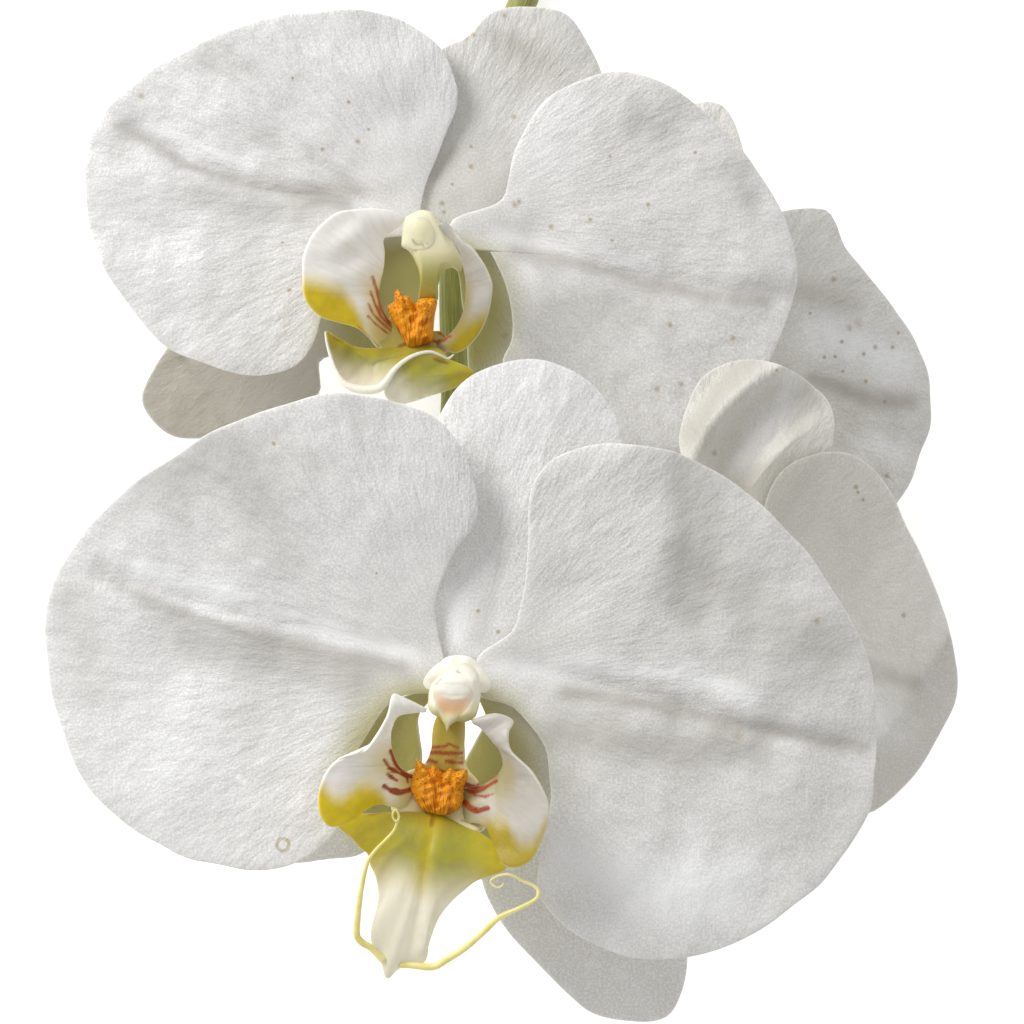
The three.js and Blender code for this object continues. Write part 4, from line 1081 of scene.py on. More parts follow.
def placed(points, bloom):
    """Points of a front bloom's lip or column, moved to the place that they have in a bloom."""
    angle = math.radians(BLOOMS[bloom]["turn"])
    scale, depth = BLOOMS[bloom]["scale"], BLOOMS[bloom]["depth"]
    x, y, z = points.T
    moved = [
        scale * (x * math.cos(angle) - y * math.sin(angle)),
        scale * (x * math.sin(angle) + y * math.cos(angle)),
        depth * z,
    ]
    return np.column_stack(moved) + np.array(CENTRES[bloom])


def painted(px, py, lines, seed, softness=1.4):
    """1 on painted lines, each given by its pixels and its width, with uneven sides."""
    total = np.zeros_like(px)
    uneven = 0.3 * ripple(px, py, 15, seed)
    for line, width in lines:
        gap, along = distance_to(px, py, line)
        half = width / 2 * (0.7 + 0.45 * np.sin(math.pi * np.clip(0.2 + 0.7 * along, 0, 1)))
        total = np.maximum(total, 1 - smooth((gap - half - uneven) / softness + 0.5))
    return total


def past(px, py, line, softness):
    """How far pixels lie below a line, from 0 above it to 1 under it."""
    xs, ys = zip(*line)
    return smooth((py - np.interp(px, xs, ys)) / softness + 0.5)


def lip_masks(template, part, points, depth, inward):
    """How far each colour of a lip shows at the points of one of its parts."""
    px, py = pixels(points, template)
    plain = np.zeros(len(points))
    green, olive, yellow, cream, shade = (plain.copy() for _ in range(5))
    mx, my = LIP_MIDDLES[template]
    around = np.hypot(px - mx, py - my)
    if part in ("left_lobe", "right_lobe"):
        low = smooth((py - my + 62) / 40)
        yellow = past(px, py, YELLOW_EDGES[template][part], 27) * step(around, 36, 14)
        cream = np.maximum(0.9 * low * step(inward, 0.5, 0.4), 1 - step(around, 34, 26))
        olive = np.maximum(0.4 * low * step(inward, 0.9, 0.1), 0.4 * (1 - step(around, 26, 22)))
        shade += LOBE_SHADES[template][part]
        if template == "b":
            olive = np.maximum(olive, 0.6 * (1 - step(around, 20, 26)))
    elif part == "claw":
        rows, columns, narrower, green_share, olive_share = NECKS[template]
        side = narrower * abs(px - np.interp(py, rows, columns))
        green += green_share
        cream += 0.9
        olive = olive_share * (1 - 0.9 * step(side, 10, 16))
    elif template == "a":
        green = 1 - past(px, py, GREEN_EDGES["a"], 56)
        cream += 0.4
        yellow = 0.5 * green * step(abs(px - 432), 22, 44)
        vein, _ = distance_to(px, py, LIP_VEIN)
        yellow = np.maximum(yellow, 0.5 * bell(vein, 8) * (1 - step(py, 855, 70)))
        olive = 0.7 * (1 - step(around, 30, 26))
    else:
        green = np.maximum(1 - past(px, py, GREEN_EDGES["b"], 40), step(px, 410, 45))
        cream += 0.3
        shade += 0.25 * (1 - step(px, 380, 30))
        end, _ = distance_to(px, py, TROUGH_END)
        yellow = np.maximum(0.5 * step(px, 438, 28), 0.5 * bell(end, 6))
        olive = 0.5 * (1 - step(around, 32, 20))
    return {
        "edge": 1 - smooth(depth / 0.3),
        "cream": cream,
        "shade": shade,
        "green": green,
        "olive": olive,
        "yellow": yellow,
        "red": STRIPE_STRENGTH[template] * painted(px, py, STRIPES[template], 3),
        "brown": painted(px, py, FOLD_MARKS[template], 4, 3),
    }


LOBE_THICKNESS = 0.5
CLAW_THICKNESS = 1.1
ROUND_EDGE = 0.45
LOBE_EDGE_RINGS = (0.9, 0.55, 0.32, 0.16, 0.06, 0)
# Points round a claw or middle lobe, the rings inside them, the points along and across a side
# lobe, and how much finer the claw is.
LOBE_POINTS = 176
LOBE_RINGS = 33
SIDE_LOBE_GRID = (160, 47)
CLAW_DETAIL = 1.25


def lip_piece(bloom, part, points, faces, depth, inward, thickness):
    place = BLOOMS[bloom]
    masks = lip_masks(place["lip"], part, points, depth, inward)
    x, y = points[:, 0] + 3, points[:, 1] + 12
    flow = np.column_stack([np.arctan2(y, x) * 16, np.hypot(x, y) * 0.25, points[:, 2] * 0.3])
    scale = min(place["scale"] * 1.1, 1)
    half = edge_half(depth * scale, thickness * scale, ROUND_EDGE)
    name, node = f"{bloom}_lip_{part}", f"{bloom}_lip"
    skinned(name, node, placed(points, bloom), faces, half, lip_skin, masks, flow)


def make_disc_lobe(bloom, part, heart, outline, thickness, relief=None):
    detail = BLOOMS[bloom]["detail"] * (CLAW_DETAIL if part == "claw" else 1)
    loop = smooth_line(outline, int(LOBE_POINTS * detail), closed=True)
    rings = int(LOBE_RINGS * detail)
    points, depth, faces = disc(np.array(heart, float), loop, rings, LOBE_EDGE_RINGS)
    if relief is not None:
        points[:, 2] += relief(*pixels(points, BLOOMS[bloom]["lip"])) * smooth(depth / 2.5)
    lip_piece(bloom, part, points, faces, depth, np.zeros_like(depth), thickness)


def make_side_lobe(bloom, part, outer, inner, bulge):
    detail = BLOOMS[bloom]["detail"]
    rows, columns = (int(count * detail) for count in SIDE_LOBE_GRID)
    rail, other = (smooth_line(edge, rows, even=False) for edge in (outer, inner))
    share = (1 - np.cos(math.pi * np.linspace(0, 1, columns))) / 2
    arch = np.sin(math.pi * share)[None, :]
    across = (other - rail)[:, None, :]
    width = np.linalg.norm(other - rail, axis=1)
    grid = rail[:, None, :] + across * share[None, :, None]
    grid[:, :, 2] += bulge * arch * smooth(width / 4)[:, None]
    grid[:, :, 2] += 0.12 * ripple(grid[:, :, 0], grid[:, :, 1], 4, 9) * arch
    along = travel(grid.mean(axis=1))
    ends = np.minimum(along, along[-1] - along)
    sides = np.minimum(share, 1 - share)[None, :] * width[:, None]
    depth = np.minimum(sides, ends[:, None]).ravel()
    corner = (np.arange(rows - 1)[:, None] * columns + np.arange(columns - 1)[None, :]).ravel()
    faces = np.column_stack([corner, corner + columns, corner + columns + 1, corner + 1]).tolist()
    inward = np.broadcast_to(share, (rows, columns)).ravel()
    lip_piece(bloom, part, grid.reshape(-1, 3), faces, depth, inward, LOBE_THICKNESS)


def middle_relief(px, py):
    """The middle lobe of lip a is arched, with a shallow groove along its centre."""
    groove, _ = distance_to(px, py, LIP_GROOVE)
    return 0.7 * bell(groove, 34) - 0.35 * bell(groove, 6)


def soft_relief(size, seed, px, py):
    return 0.12 * ripple(px, py, size, seed)


def make_lip(bloom):
    template = BLOOMS[bloom]["lip"]
    shapes = LIP_SHAPES[template]
    make_disc_lobe(bloom, "claw", *shapes["claw"], CLAW_THICKNESS)
    for part, bulge in (("left_lobe", 0.7), ("right_lobe", 0.5)):
        make_side_lobe(bloom, part, *shapes[part], bulge)
    if template == "a":
        make_disc_lobe(bloom, "middle_lobe", *shapes["middle_lobe"], LOBE_THICKNESS, middle_relief)
        return
    for part, heart, outline, size, seed in (
        ("trough", TROUGH_HEART, TROUGH, 26, 13), ("flap", FLAP_HEART, FLAP, 30, 12),
    ):
        relief = functools.partial(soft_relief, size, seed)
        (heart,) = local([heart], template)
        make_disc_lobe(bloom, part, heart, local(outline, template), LOBE_THICKNESS, relief)


# Bodies of round sections


def rounded_line(route, count, least):
    """A smooth line of x, y, z and radius. Its radius runs to nothing, or nearly, at its ends."""
    line = smooth_line(route, count)
    along = travel(line[:, :3])
    for gap, radius in ((along, line[0, 3]), (along[-1] - along, line[-1, 3])):
        line[:, 3] *= quarter(gap / radius, least)
    return line


def tube(route, sides, steps):
    """A closed body on a smooth line of x, y, z and radius, rounded at both ends."""
    line = rounded_line(route, steps + 1, 0)
    centres = line[:, :3]
    tangents = np.gradient(centres, axis=0)
    tangents /= np.linalg.norm(tangents, axis=1, keepdims=True)
    across = np.array([1.0, 0, 0])
    angles = np.arange(sides)[:, None] * math.tau / sides
    rings = []
    for centre, tangent, radius in zip(centres[1:-1], tangents[1:-1], line[1:-1, 3]):
        across = across - tangent * (across @ tangent)
        across /= np.linalg.norm(across)
        up = np.cross(tangent, across)
        rings.append(centre + radius * (np.cos(angles) * across + np.sin(angles) * up))
    points = np.vstack([centres[:1], *rings, centres[-1:]])
    around = np.arange(sides)
    after = (around + 1) % sides
    first, last = np.zeros(sides, int), np.full(sides, len(points) - 1)
    parts = [[first, 1 + after, 1 + around]]
    for low in 1 + sides * np.arange(len(rings) - 1):
        high = low + sides
        parts.append([low + around, low + after, high + after, high + around])
    top = last - sides
    parts.append([top + around, top + after, last])
    return points, [face for part in parts for face in np.column_stack(part).tolist()]


# Geometry Nodes


class Tree:
    """A Geometry Nodes tree with named inputs, which ends in real mesh of one material."""

    def __init__(self, name, inputs):
        self.tree = bpy.data.node_groups.new(name, "GeometryNodeTree")
        face = self.tree.interface
        for way in ("INPUT", "OUTPUT"):
            face.new_socket("Geometry", in_out=way, socket_type="NodeSocketGeometry")
        self.keys = {}
        for label, kind in inputs.items():
            socket = face.new_socket(label, in_out="INPUT", socket_type="NodeSocket" + kind)
            self.keys[label] = socket.identifier
        self.inputs = self.tree.nodes.new("NodeGroupInput").outputs

    def make(self, kind, settings=None, inputs=None, output=0):
        return add_node(self.tree, "GeometryNode" + kind, settings, inputs, output)

    def end(self, geometry):
        geometry = self.make("SetShadeSmooth", None, {"Geometry": geometry})
        geometry = self.make("RealizeInstances", None, {"Geometry": geometry})
        inputs = {"Geometry": geometry, "Material": self.inputs["Material"]}
        geometry = self.make("SetMaterial", None, inputs)
        self.tree.links.new(geometry, self.tree.nodes.new("NodeGroupOutput").inputs[0])

    def grown(self, name, mesh, values):
        """The plain mesh that the tree makes from a mesh with these values of its inputs."""
        start = linked(name + "_start", mesh)
        modifier = start.modifiers.new("grow", "NODES")
        modifier.node_group = self.tree
        for label, value in values.items():
            modifier[self.keys[label]] = value
        graph = bpy.context.evaluated_depsgraph_get()
        grown = bpy.data.meshes.new_from_object(start.evaluated_get(graph))
        start.modifiers.remove(modifier)
        bpy.data.objects.remove(start)
        grown.name = name
        return grown


def rod_tree():
    """A round rod along each path, as thick as the path's points say."""
    tree = Tree("rod", {"Material": "Material", "Sides": "Int"})
    path = tree.make("MeshToCurve", None, {"Mesh": tree.inputs["Geometry"]})
    inputs = {"Resolution": tree.inputs["Sides"], "Radius": 1.0}
    section = tree.make("CurvePrimitiveCircle", None, inputs)
    inputs = {"Geometry": section, "Name": "round", "Value": tree.make("InputPosition")}
    section = tree.make("StoreNamedAttribute", {"data_type": "FLOAT_VECTOR"}, inputs)
    thickness = tree.make("InputNamedAttribute", {"data_type": "FLOAT"}, {"Name": "thickness"})
    inputs = {"Curve": path, "Profile Curve": section, "Scale": thickness, "Fill Caps": True}
    tree.end(tree.make("CurveToMesh", None, inputs))
    return tree


def wart_tree():
    """Small round warts on the upward faces of a body, apart by the spacing."""
    tree = Tree("warts", {"Material": "Material", "Spacing": "Float", "Wart": "Float", "Seed": "Int"})
    inputs = {
        "Mesh": tree.inputs["Geometry"],
        "Distance Min": tree.inputs["Spacing"],
        "Density Max": 2e7,
        "Density Factor": tree.make("InputNamedAttribute", {"data_type": "FLOAT"}, {"Name": "wart"}),
        "Seed": tree.inputs["Seed"],
    }
    points = tree.make("DistributePointsOnFaces", {"distribute_method": "POISSON"}, inputs)
    ball = tree.make("MeshIcoSphere", None, {"Radius": tree.inputs["Wart"], "Subdivisions": 2})
    ball = tree.make("Transform", None, {"Geometry": ball, "Scale": (1.0, 1.0, 0.75)})
    sizes = {2: 0.6, 3: 1.15, 8: 7}
    size = add_node(tree.tree, "FunctionNodeRandomValue", {"data_type": "FLOAT"}, sizes, 1)
    inputs = {
        "Points": points, "Instance": ball, "Rotation": points.node.outputs["Rotation"], "Scale": size,
    }
    joined = tree.make("JoinGeometry", None, {0: tree.make("InstanceOnPoints", None, inputs)})
    tree.tree.links.new(tree.inputs["Geometry"], joined.node.inputs[0])
    tree.end(joined)
    return tree


rods = rod_tree()
warts = wart_tree()


def path_mesh(name, lines):
    """Paths of x, y, z and radius in millimetres, as edges with the values that the rods take."""
    mesh = bpy.data.meshes.new(name + "_path")
    points = np.vstack(lines)
    edges, start = [], 0
    for line in lines:
        edges += [(start + i, start + i + 1) for i in range(len(line) - 1)]
        start += len(line)
    mesh.from_pydata((points[:, :3] * MM).tolist(), edges, [])
    along = np.concatenate([travel(line[:, :3]) for line in lines])
    store(mesh, {"thickness": points[:, 3] * MM, "along": along})
    return mesh


def make_rods(name, lines, sides, material, node):
    mesh = rods.grown(name, path_mesh(name, lines), {"Material": material, "Sides": sides})
    piece = linked(name, mesh)
    fit(piece, node)
    return piece


def keep_above(piece, level):
    """Flattens what would reach under a level, given in millimetres."""
    places = vertex_places(piece.data)
    places[:, 2] = np.maximum(places[:, 2], level * MM)
    piece.data.vertices.foreach_set("co", places.ravel())
    piece.data.update()


# How far a rod's radius runs down at its ends, squared, as a share of it.
THIN_END = 0.0004


def make_tendrils(bloom):
    scale = BLOOMS[bloom]["scale"]
    lines = []
    for route in TENDRILS:
        line = local(route, "a")
        spots = np.column_stack([placed(line[:, :3], bloom), line[:, 3] * scale])
        lines.append(rounded_line(spots, 150, THIN_END))
    make_rods(f"{bloom}_tendrils", lines, 14, tendril_skin, f"{bloom}_lip")


def make_rim(bloom):
    """The rolled rim of the middle lobe of lip b, and its front edge."""
    line = local(RIM_ROLL, "b")
    points, faces = tube(line, 30, 240)
    masks = {"edge": np.full(len(points), 0.4), "cream": np.full(len(points), 0.2)}
    flow = np.column_stack([points[:, 0] * 3, points[:, 1] * 3, points[:, 2] * 3])
    piece = mesh_piece(f"{bloom}_lip_rim", placed(points, bloom), faces, lip_skin, masks, flow)
    fit(piece, f"{bloom}_lip")


def tendril_material():
    shop = Shop("tendril_skin")
    mottle = shop.noise(shop.place, 0.5, 2.0, 0.5)
    grain = shop.noise(shop.place, 5.0, 2.0, 0.6)
    colour = shop.blend(mottle.ramp(0.35, 0.7), srgb(244, 232, 160), srgb(232, 220, 130))
    return shop.finish(colour, grain, 0.05, 0.4, 0.35, 0.8)


# Calluses

# A callus seen from above, by pixel: outline, heart, tips of its horns, cleft, and how far below
# its heart its striped front starts. Its height is over its base.
CALLUSES = {
    "a": {
        "outline": [
            (410.3, 790), (411.5, 779), (414.5, 771), (416.5, 759.6), (423, 763.5), (429, 769),
            (432.8, 764.4), (438, 768.5), (443.5, 773.5), (450.5, 768), (455.5, 771.5), (466.7, 770),
            (467.6, 779), (463.5, 788), (463.4, 801), (459, 809.4), (449, 814.5), (441, 815.8),
            (431, 813.6), (422.7, 810.8), (416, 802.7), (412.6, 795),
        ],
        "heart": (438, 792),
        "horns": [(417.5, 762), (433, 767), (450.5, 770.5), (465, 772.5)],
        "cleft": [(442, 772), (439, 790), (437, 806)],
        "front": -4,
        "height": 2.4,
    },
    "b": {
        "outline": [
            (387.5, 305.8), (393.4, 301.4), (394.8, 291.2), (397.8, 288.4), (400.7, 294.6), (405.8, 295.2),
            (411, 298.5), (415, 303.4), (419, 299.2), (423.4, 297.8), (436.6, 299), (436.6, 306),
            (434.8, 314.6), (433.4, 329.3), (432.6, 341), (422, 345.4), (408, 347.2), (402.6, 338),
            (395.6, 326.4), (390.6, 317.6),
        ],
        "heart": (413, 322),
        "horns": [(397.6, 291), (407, 297), (423, 300), (434.5, 301)],
        "cleft": [(416, 304), (412, 325), (409, 338)],
        "front": -12,
        "height": 2.6,
    },
}
CALLUS_ORANGE = srgb(248, 172, 34)
CALLUS_BASE = 6.3
HORN_HEIGHT = 1.5
# Points round a callus or a column's head, the rings inside them, and those near its edge.
PILLOW_POINTS = 140
PILLOW_FIELD = 22
PILLOW_RINGS = (0.9, 0.5, 0.28, 0.14, 0.05, 0)


def evenly(height):
    return lambda px, py: np.full_like(px, height)


def pillow(bloom, outline, heart, level, middle, top, under, rounding):
    """A closed body from its outline seen from above at a level. Its heights go by pixel."""
    template, detail = BLOOMS[bloom]["lip"], BLOOMS[bloom]["detail"]
    rim = local([(*pixel, level) for pixel in outline], template)
    (centre,) = local([(*heart, level)], template)
    loop = smooth_line(rim, int(PILLOW_POINTS * detail), closed=True)
    points, depth, faces = disc(centre, loop, int(PILLOW_FIELD * detail), PILLOW_RINGS)
    px, py = pixels(points, template)
    swell = quarter(depth / rounding)
    points[:, 2] = middle(px, py)
    lower = points.copy()
    lower[:, 2] -= under * swell
    points[:, 2] += swell * top(px, py)
    upper_count = len(points)
    points, faces, owner = doubled(points, lower, faces, depth < AT_EDGE)
    upward = np.arange(len(points)) < upper_count
    return placed(points, bloom), faces, px[owner], py[owner], swell[owner], upward


def callus_material():
    shop = Shop("callus_skin")
    streaks = shop.noise(shop.flow((1, 1, 0)), 1.0, 1.0, 0.4)
    grain = shop.noise(shop.place, 4.0, 2.0, 0.6)
    stripe = shop.mask("streak")
    dots = (1 - shop.cells(1.9).ramp(0.2, 0.34)) * (1 - stripe)
    lines = streaks.ramp(0.53, 0.6) * stripe
    colour = shop.blend(grain.ramp(0.3, 0.7), CALLUS_ORANGE, srgb(228, 138, 14))
    marks = dots.lighter(lines) * 0.85
    colour = shop.layered(colour, ("olive", srgb(204, 172, 36)), (marks, srgb(172, 86, 14)))
    relief = grain * 0.4 - dots * 0.3 - lines * 0.25
    return shop.finish(colour, relief, 0.12, 0.5, 0.2, 0.6, Specular_IOR_Level=0.3)


def make_callus(bloom):
    scale = BLOOMS[bloom]["scale"]
    shape = CALLUSES[BLOOMS[bloom]["lip"]]
    mx, my = shape["heart"]

    def top(px, py):
        horns = np.max([bell(np.hypot(px - x, py - y), 7) for x, y in shape["horns"]], axis=0)
        cleft, _ = distance_to(px, py, shape["cleft"])
        rough = 0.16 * ripple(px, py, 9, 21)
        return shape["height"] * (1 - 0.2 * bell(cleft, 5)) + HORN_HEIGHT * horns + rough

    points, faces, px, py, swell, upward = pillow(
        bloom, shape["outline"], shape["heart"], CALLUS_BASE + 1, evenly(CALLUS_BASE), top, 0.3, 2.2,
    )
    front = smooth((py - my - shape["front"]) / 10)
    front = front * (1 - smooth((abs(px - mx) - 15) / 9))
    centre = np.hypot((px - mx) / 0.8, py - my + 2)
    streak = np.maximum(front, 0.9 * bell(centre, 10))
    masks = {
        "streak": streak,
        "olive": 0.5 * smooth((py - my - 16) / 10),
        "wart": upward * (1 - streak) * (swell > 0.25),
    }
    below = my + 46 - py
    fan = np.arctan2(px - mx, below)
    flow = np.column_stack([fan * 24, np.hypot(px - mx, below) * 0.055, np.zeros_like(px)])
    start = mesh_piece(f"{bloom}_callus_body", points, faces, callus_skin, masks, flow)
    size = scale * MM
    values = {"Material": callus_skin, "Spacing": 0.5 * size, "Wart": 0.17 * size, "Seed": 5}
    mesh = warts.grown(f"{bloom}_callus_warts", start.data.copy(), values)
    bpy.data.objects.remove(start)
    fit(linked(f"{bloom}_callus_warty", mesh), f"{bloom}_callus")


# Columns

# A column's stump from the bloom's centre, with its radius. Its head and the cap on it are seen
# from above, by pixel: outline, heart and the dome over them as its middle, half widths and height.
STUMPS = {
    "a": [(0, 0, -0.9, 1.8), (0, 0, 1.2, 1.8), (-0.3, -0.8, 4, 2.2), (-0.6, -2, 6.8, 2.2)],
    "b": [(-0.8, -1.4, -0.9, 1.2), (-0.8, -1.5, 1.2, 1.2), (-1.3, -2.4, 4, 1.8), (-1.6, -3.2, 6.6, 2)],
}
HEADS = {
    "a": {
        "outline": [
            (456, 665.5), (450, 667), (445.5, 670), (441, 674), (435.5, 679.5), (431, 685.4),
            (428.5, 693.2), (427.9, 700.2), (427.5, 705.8), (429.2, 711), (433.1, 715.6), (438, 717.8),
            (441, 720.5), (444, 724.5), (446, 728), (446.9, 731.5), (448.4, 728), (451.7, 725),
            (457, 722.2), (461.1, 723), (466.1, 722.6), (471, 720.5), (475.2, 717.5), (478, 710.7),
            (479.6, 703.7), (480.4, 696.7), (480.3, 689.6), (479.8, 683.3), (478.8, 677), (476, 671.5),
            (471.5, 667.5), (464, 665),
        ],
        "heart": (455, 691),
        "dome": (454, 692, 31, 48, 2.7),
        "level": 7.6,
        "fall": (682, -18),
        "cap": [
            (433, 694), (434, 688), (439, 684.5), (447, 683), (456, 682.5), (465, 684), (471.5, 688),
            (473.5, 695), (471, 703), (466, 710), (459.5, 716), (453.5, 721), (449.5, 726), (446.9, 731.8),
            (445, 726), (442.8, 721), (439.8, 715), (435.8, 706),
        ],
        "cap_heart": (453, 701),
    },
    "b": {
        "outline": [
            (404.4, 218), (402.4, 229), (401.2, 240), (401.4, 245.5), (407.3, 249.4), (411, 253.5),
            (416.1, 263.3), (419, 272.1), (419.8, 284), (418.5, 300), (436.5, 300), (438.1, 284),
            (442.5, 272.1), (447.6, 268), (452.8, 267), (459.5, 270.5), (462, 268), (461.2, 258),
            (456, 247), (450, 236), (444, 226), (437, 217), (430, 210.5), (421, 209), (411, 213),
        ],
        "heart": (430, 246),
        "dome": (426, 236, 40, 76, 2.6),
        "level": 7.2,
        "fall": (252, 58),
        "cap": [
            (405, 219.5), (403, 230), (402, 240), (402.2, 245), (407.6, 248.6), (413, 250.5), (421, 251),
            (429, 249.5), (434.5, 244), (436, 235), (433, 226), (427, 219.5), (416, 217),
        ],
        "cap_heart": (419, 234),
    },
}
# White shoulders round the foot of column a's head, by pixel.
SHOULDERS = [
    (420, 683), (424, 675), (433, 666), (444, 658), (457, 655), (470, 657), (481, 665), (489, 675),
    (493, 685), (490, 692), (480, 692), (466, 690), (444, 690), (430, 690), (422, 688),
]
SHOULDER_LEVEL = 0.55
# The blush on cap a, by pixel: its rows and its left and right sides, and the cap's brow over it.
BLUSH_SIDES = ((690, 700, 708, 716), (428, 431, 435, 441), (477, 475, 470, 464))
BROW = ((434, 441, 449, 455, 463, 472), (690, 691, 695, 696, 695, 690))
# Bulges of a head and cap, by pixel, half width and height, its sutures, and its brown marks.
BULGES = {"a": [(434, 708, 7, 0.35), (471, 713, 8, 0.3)], "b": [(420, 230, 12, 0.3)]}
SUTURES = {
    "a": [[(436, 690), (442, 694), (451, 696.5), (463, 696), (471, 692.5)]],
    "b": [[(403, 246.5), (411, 250), (418, 257)], [(412.4, 239.9), (419, 245.2), (427.8, 243.4)]],
}
HEAD_MARKS = {
    "a": [([(435.5, 684.5), (441, 680), (448, 675.5)], 2), ([(455, 671), (460, 673)], 1.5)],
    "b": [([(412.4, 240), (415, 243.6), (419, 245.4), (423, 245)], 1.5), ([(424, 247), (428, 243)], 1.3)],
}
NECK_FALL = 2.2
CAP_HEIGHT = 0.25
COLUMN_CREAM = srgb(253, 248, 234)


def column_material():
    shop = Shop("column_skin")
    mottle = shop.noise(shop.place, 0.9, 3.0, 0.55)
    grain = shop.noise(shop.place, 4.0, 3.0, 0.6)
    colour = shop.layered(
        shop.blend(mottle.ramp(0.4, 0.75) * 0.5, COLUMN_CREAM, srgb(244, 232, 210)),
        ("cream", srgb(230, 222, 172)), ("olive", srgb(172, 166, 72)),
        ("blush", srgb(226, 166, 116)), ("brown", srgb(150, 128, 84)),
    )
    return shop.finish(colour, mottle + grain * 0.3, 0.1, 0.4, 0.3, 1.2)


def column_marks(template, px, py, swell):
    """The relief of a column's head and its colours, by the pixel that they show at."""
    if template == "a":
        rows, left, right = BLUSH_SIDES
        blush = smooth((px - np.interp(py, rows, left)) / 8)
        blush = blush * smooth((np.interp(py, rows, right) - px) / 8)
        blush = blush * smooth((py - np.interp(px, *BROW)) / 6)
        blush = blush * (1 - step(py, 710, 9)) * (0.5 + 0.5 * step(py, 694, 12))
        cream = np.maximum(0.8 * step(py, 694, 18), 0.5 * (1 - swell))
        olive = 0.6 * step(py, 708, 14) * smooth(abs(px - 450) / 14) + 0.35 * step(py, 718, 8)
    else:
        blush = np.zeros_like(px)
        cream = 0.55 + 0.35 * step(py, 238, 24)
        olive = 0.25 * bell(np.hypot(px - 425, py - 233), 13) + 0.95 * step(py, 246, 36)
    bulges = [high * bell(np.hypot(px - x, py - y), wide) for x, y, wide, high in BULGES[template]]
    relief = sum(bulges) - 0.3 * blush
    for line in SUTURES[template]:
        gap, along = distance_to(px, py, line)
        relief -= 0.16 * bell(gap, 2.2) * np.sin(math.pi * np.clip(along, 0.04, 0.96))
    brown = 0.5 * painted(px, py, HEAD_MARKS[template], 31)
    return relief, {"blush": 0.75 * blush, "cream": cream, "olive": olive, "brown": brown}


def make_column(bloom):
    template, detail = BLOOMS[bloom]["lip"], BLOOMS[bloom]["detail"]
    shape = HEADS[template]
    points, faces = tube(np.array(STUMPS[template], float), int(60 * detail), int(40 * detail))
    plain = np.zeros(len(points))
    masks = {"blush": plain, "cream": plain + 0.1, "olive": plain, "brown": plain}
    piece = mesh_piece(f"{bloom}_column_stump", placed(points, bloom), faces, column_skin, masks)
    fit(piece, f"{bloom}_column")

    def level(px, py):
        return shape["level"] - NECK_FALL * step(py, *shape["fall"])

    def top(px, py):
        mx, my, wide, long, high = shape["dome"]
        dome = np.maximum(0.12, 1 - ((px - mx) / wide) ** 2 - ((py - my) / long) ** 2)
        return high * np.sqrt(dome) + column_marks(template, px, py, np.ones_like(px))[0]

    def cap_foot(px, py):
        return level(px, py) + top(px, py) - 0.1

    def shoulder_top(px, py):
        return 0.95 + 0.2 * ripple(px, py, 22, 61)

    heart, drawn_at = shape["heart"], shape["level"] + 2
    flat_top = evenly(CAP_HEIGHT)
    bodies = [
        ("head", "column", shape["outline"], heart, drawn_at, level, top, 2.2, 1.1),
        ("cap", "anther_cap", shape["cap"], shape["cap_heart"], drawn_at, cap_foot, flat_top, 0.4, 1.1),
    ]
    if template == "a":
        foot = (SHOULDER_LEVEL, evenly(SHOULDER_LEVEL))
        bodies.append(("shoulder", "column", SHOULDERS, heart, *foot, shoulder_top, 0.8, 4.6))
    for name, slot, outline, *form in bodies:
        points, faces, px, py, swell, _ = pillow(bloom, outline, *form)
        _, masks = column_marks(template, px, py, swell)
        if name == "shoulder":
            masks = {key: np.zeros_like(values) for key, values in masks.items()}
        piece = mesh_piece(f"{bloom}_column_{name}", points, faces, column_skin, masks)
        fit(piece, f"{bloom}_{slot}")


# Stalks, stem and bracts

FOOTPRINT_MIDDLE = (0.5, 82.3)
STALKS = {
    "a": [(-7.3, -3.2, 5.1), (-7.2, -8, 10), (-7.2, -14, 19), (-7.2, -19, 30)],
    "b": [(-6.2, 58, 5.3), (-7, 55.6, 9), (-8.6, 50.5, 14.5), (-10, 45.5, 20)],
    "c": [(1.9, 66.2, 3.2), (6, 61, 3.2), (15, 45, 3), (21.5, 29, 3.6), (24, 19.5, 6)],
    "d": [(-3.9, 7.6, 3.9), (0.2, 0.5, 6), (8, -9, 9.5), (20, -12, 12.5), (29, -9.5, 17)],
}
STALK_RADIUS = 1.3
SEAT_TOP = -1.35
SEAT_DEPTHS = (3, 1.4, 0)
SEAT_FLARE = (1.5, 2.2, 3.1)
TIP_RADIUS = 1.3
RACHIS_RADIUS = 2.1
CUT_RADIUS = 2.8
STEM_SEAT = 0.9
# How far apart the stem's points are where its tip rounds off, and its cut face, from inside it
# to out of it.
STEM_STEP = 0.6
CUT_FACE = (-0.5, 0.12)
RACHIS_START = 0
BASE_START = 60
NODE_SWELL = 0.35
NODE_LENGTH = 3
STEM_PATH = [
    (-6.6, -21), (-7.4, -8), (-8, 5), (-8.5, 20), (-8.7, 36), (-7.6, 49), (-5.4, 60), (-1.8, 69), (2, 77),
    (6, 90), (9, 115), (10.5, 150), (10, 190), (7, 235),
]
# Bracts by how far along the stem they sit and on which side, and their line and radii.
BRACTS = [(-3, 1), (12, 1), (56, -1), (67, 1), (118, -1), (178, 1)]
BRACT_ROUTE = [(-1.1, 2, 0.4, 0.7), (-0.1, -2, 0.6, 1.1), (0.6, -6, 0.9, 0.3)]


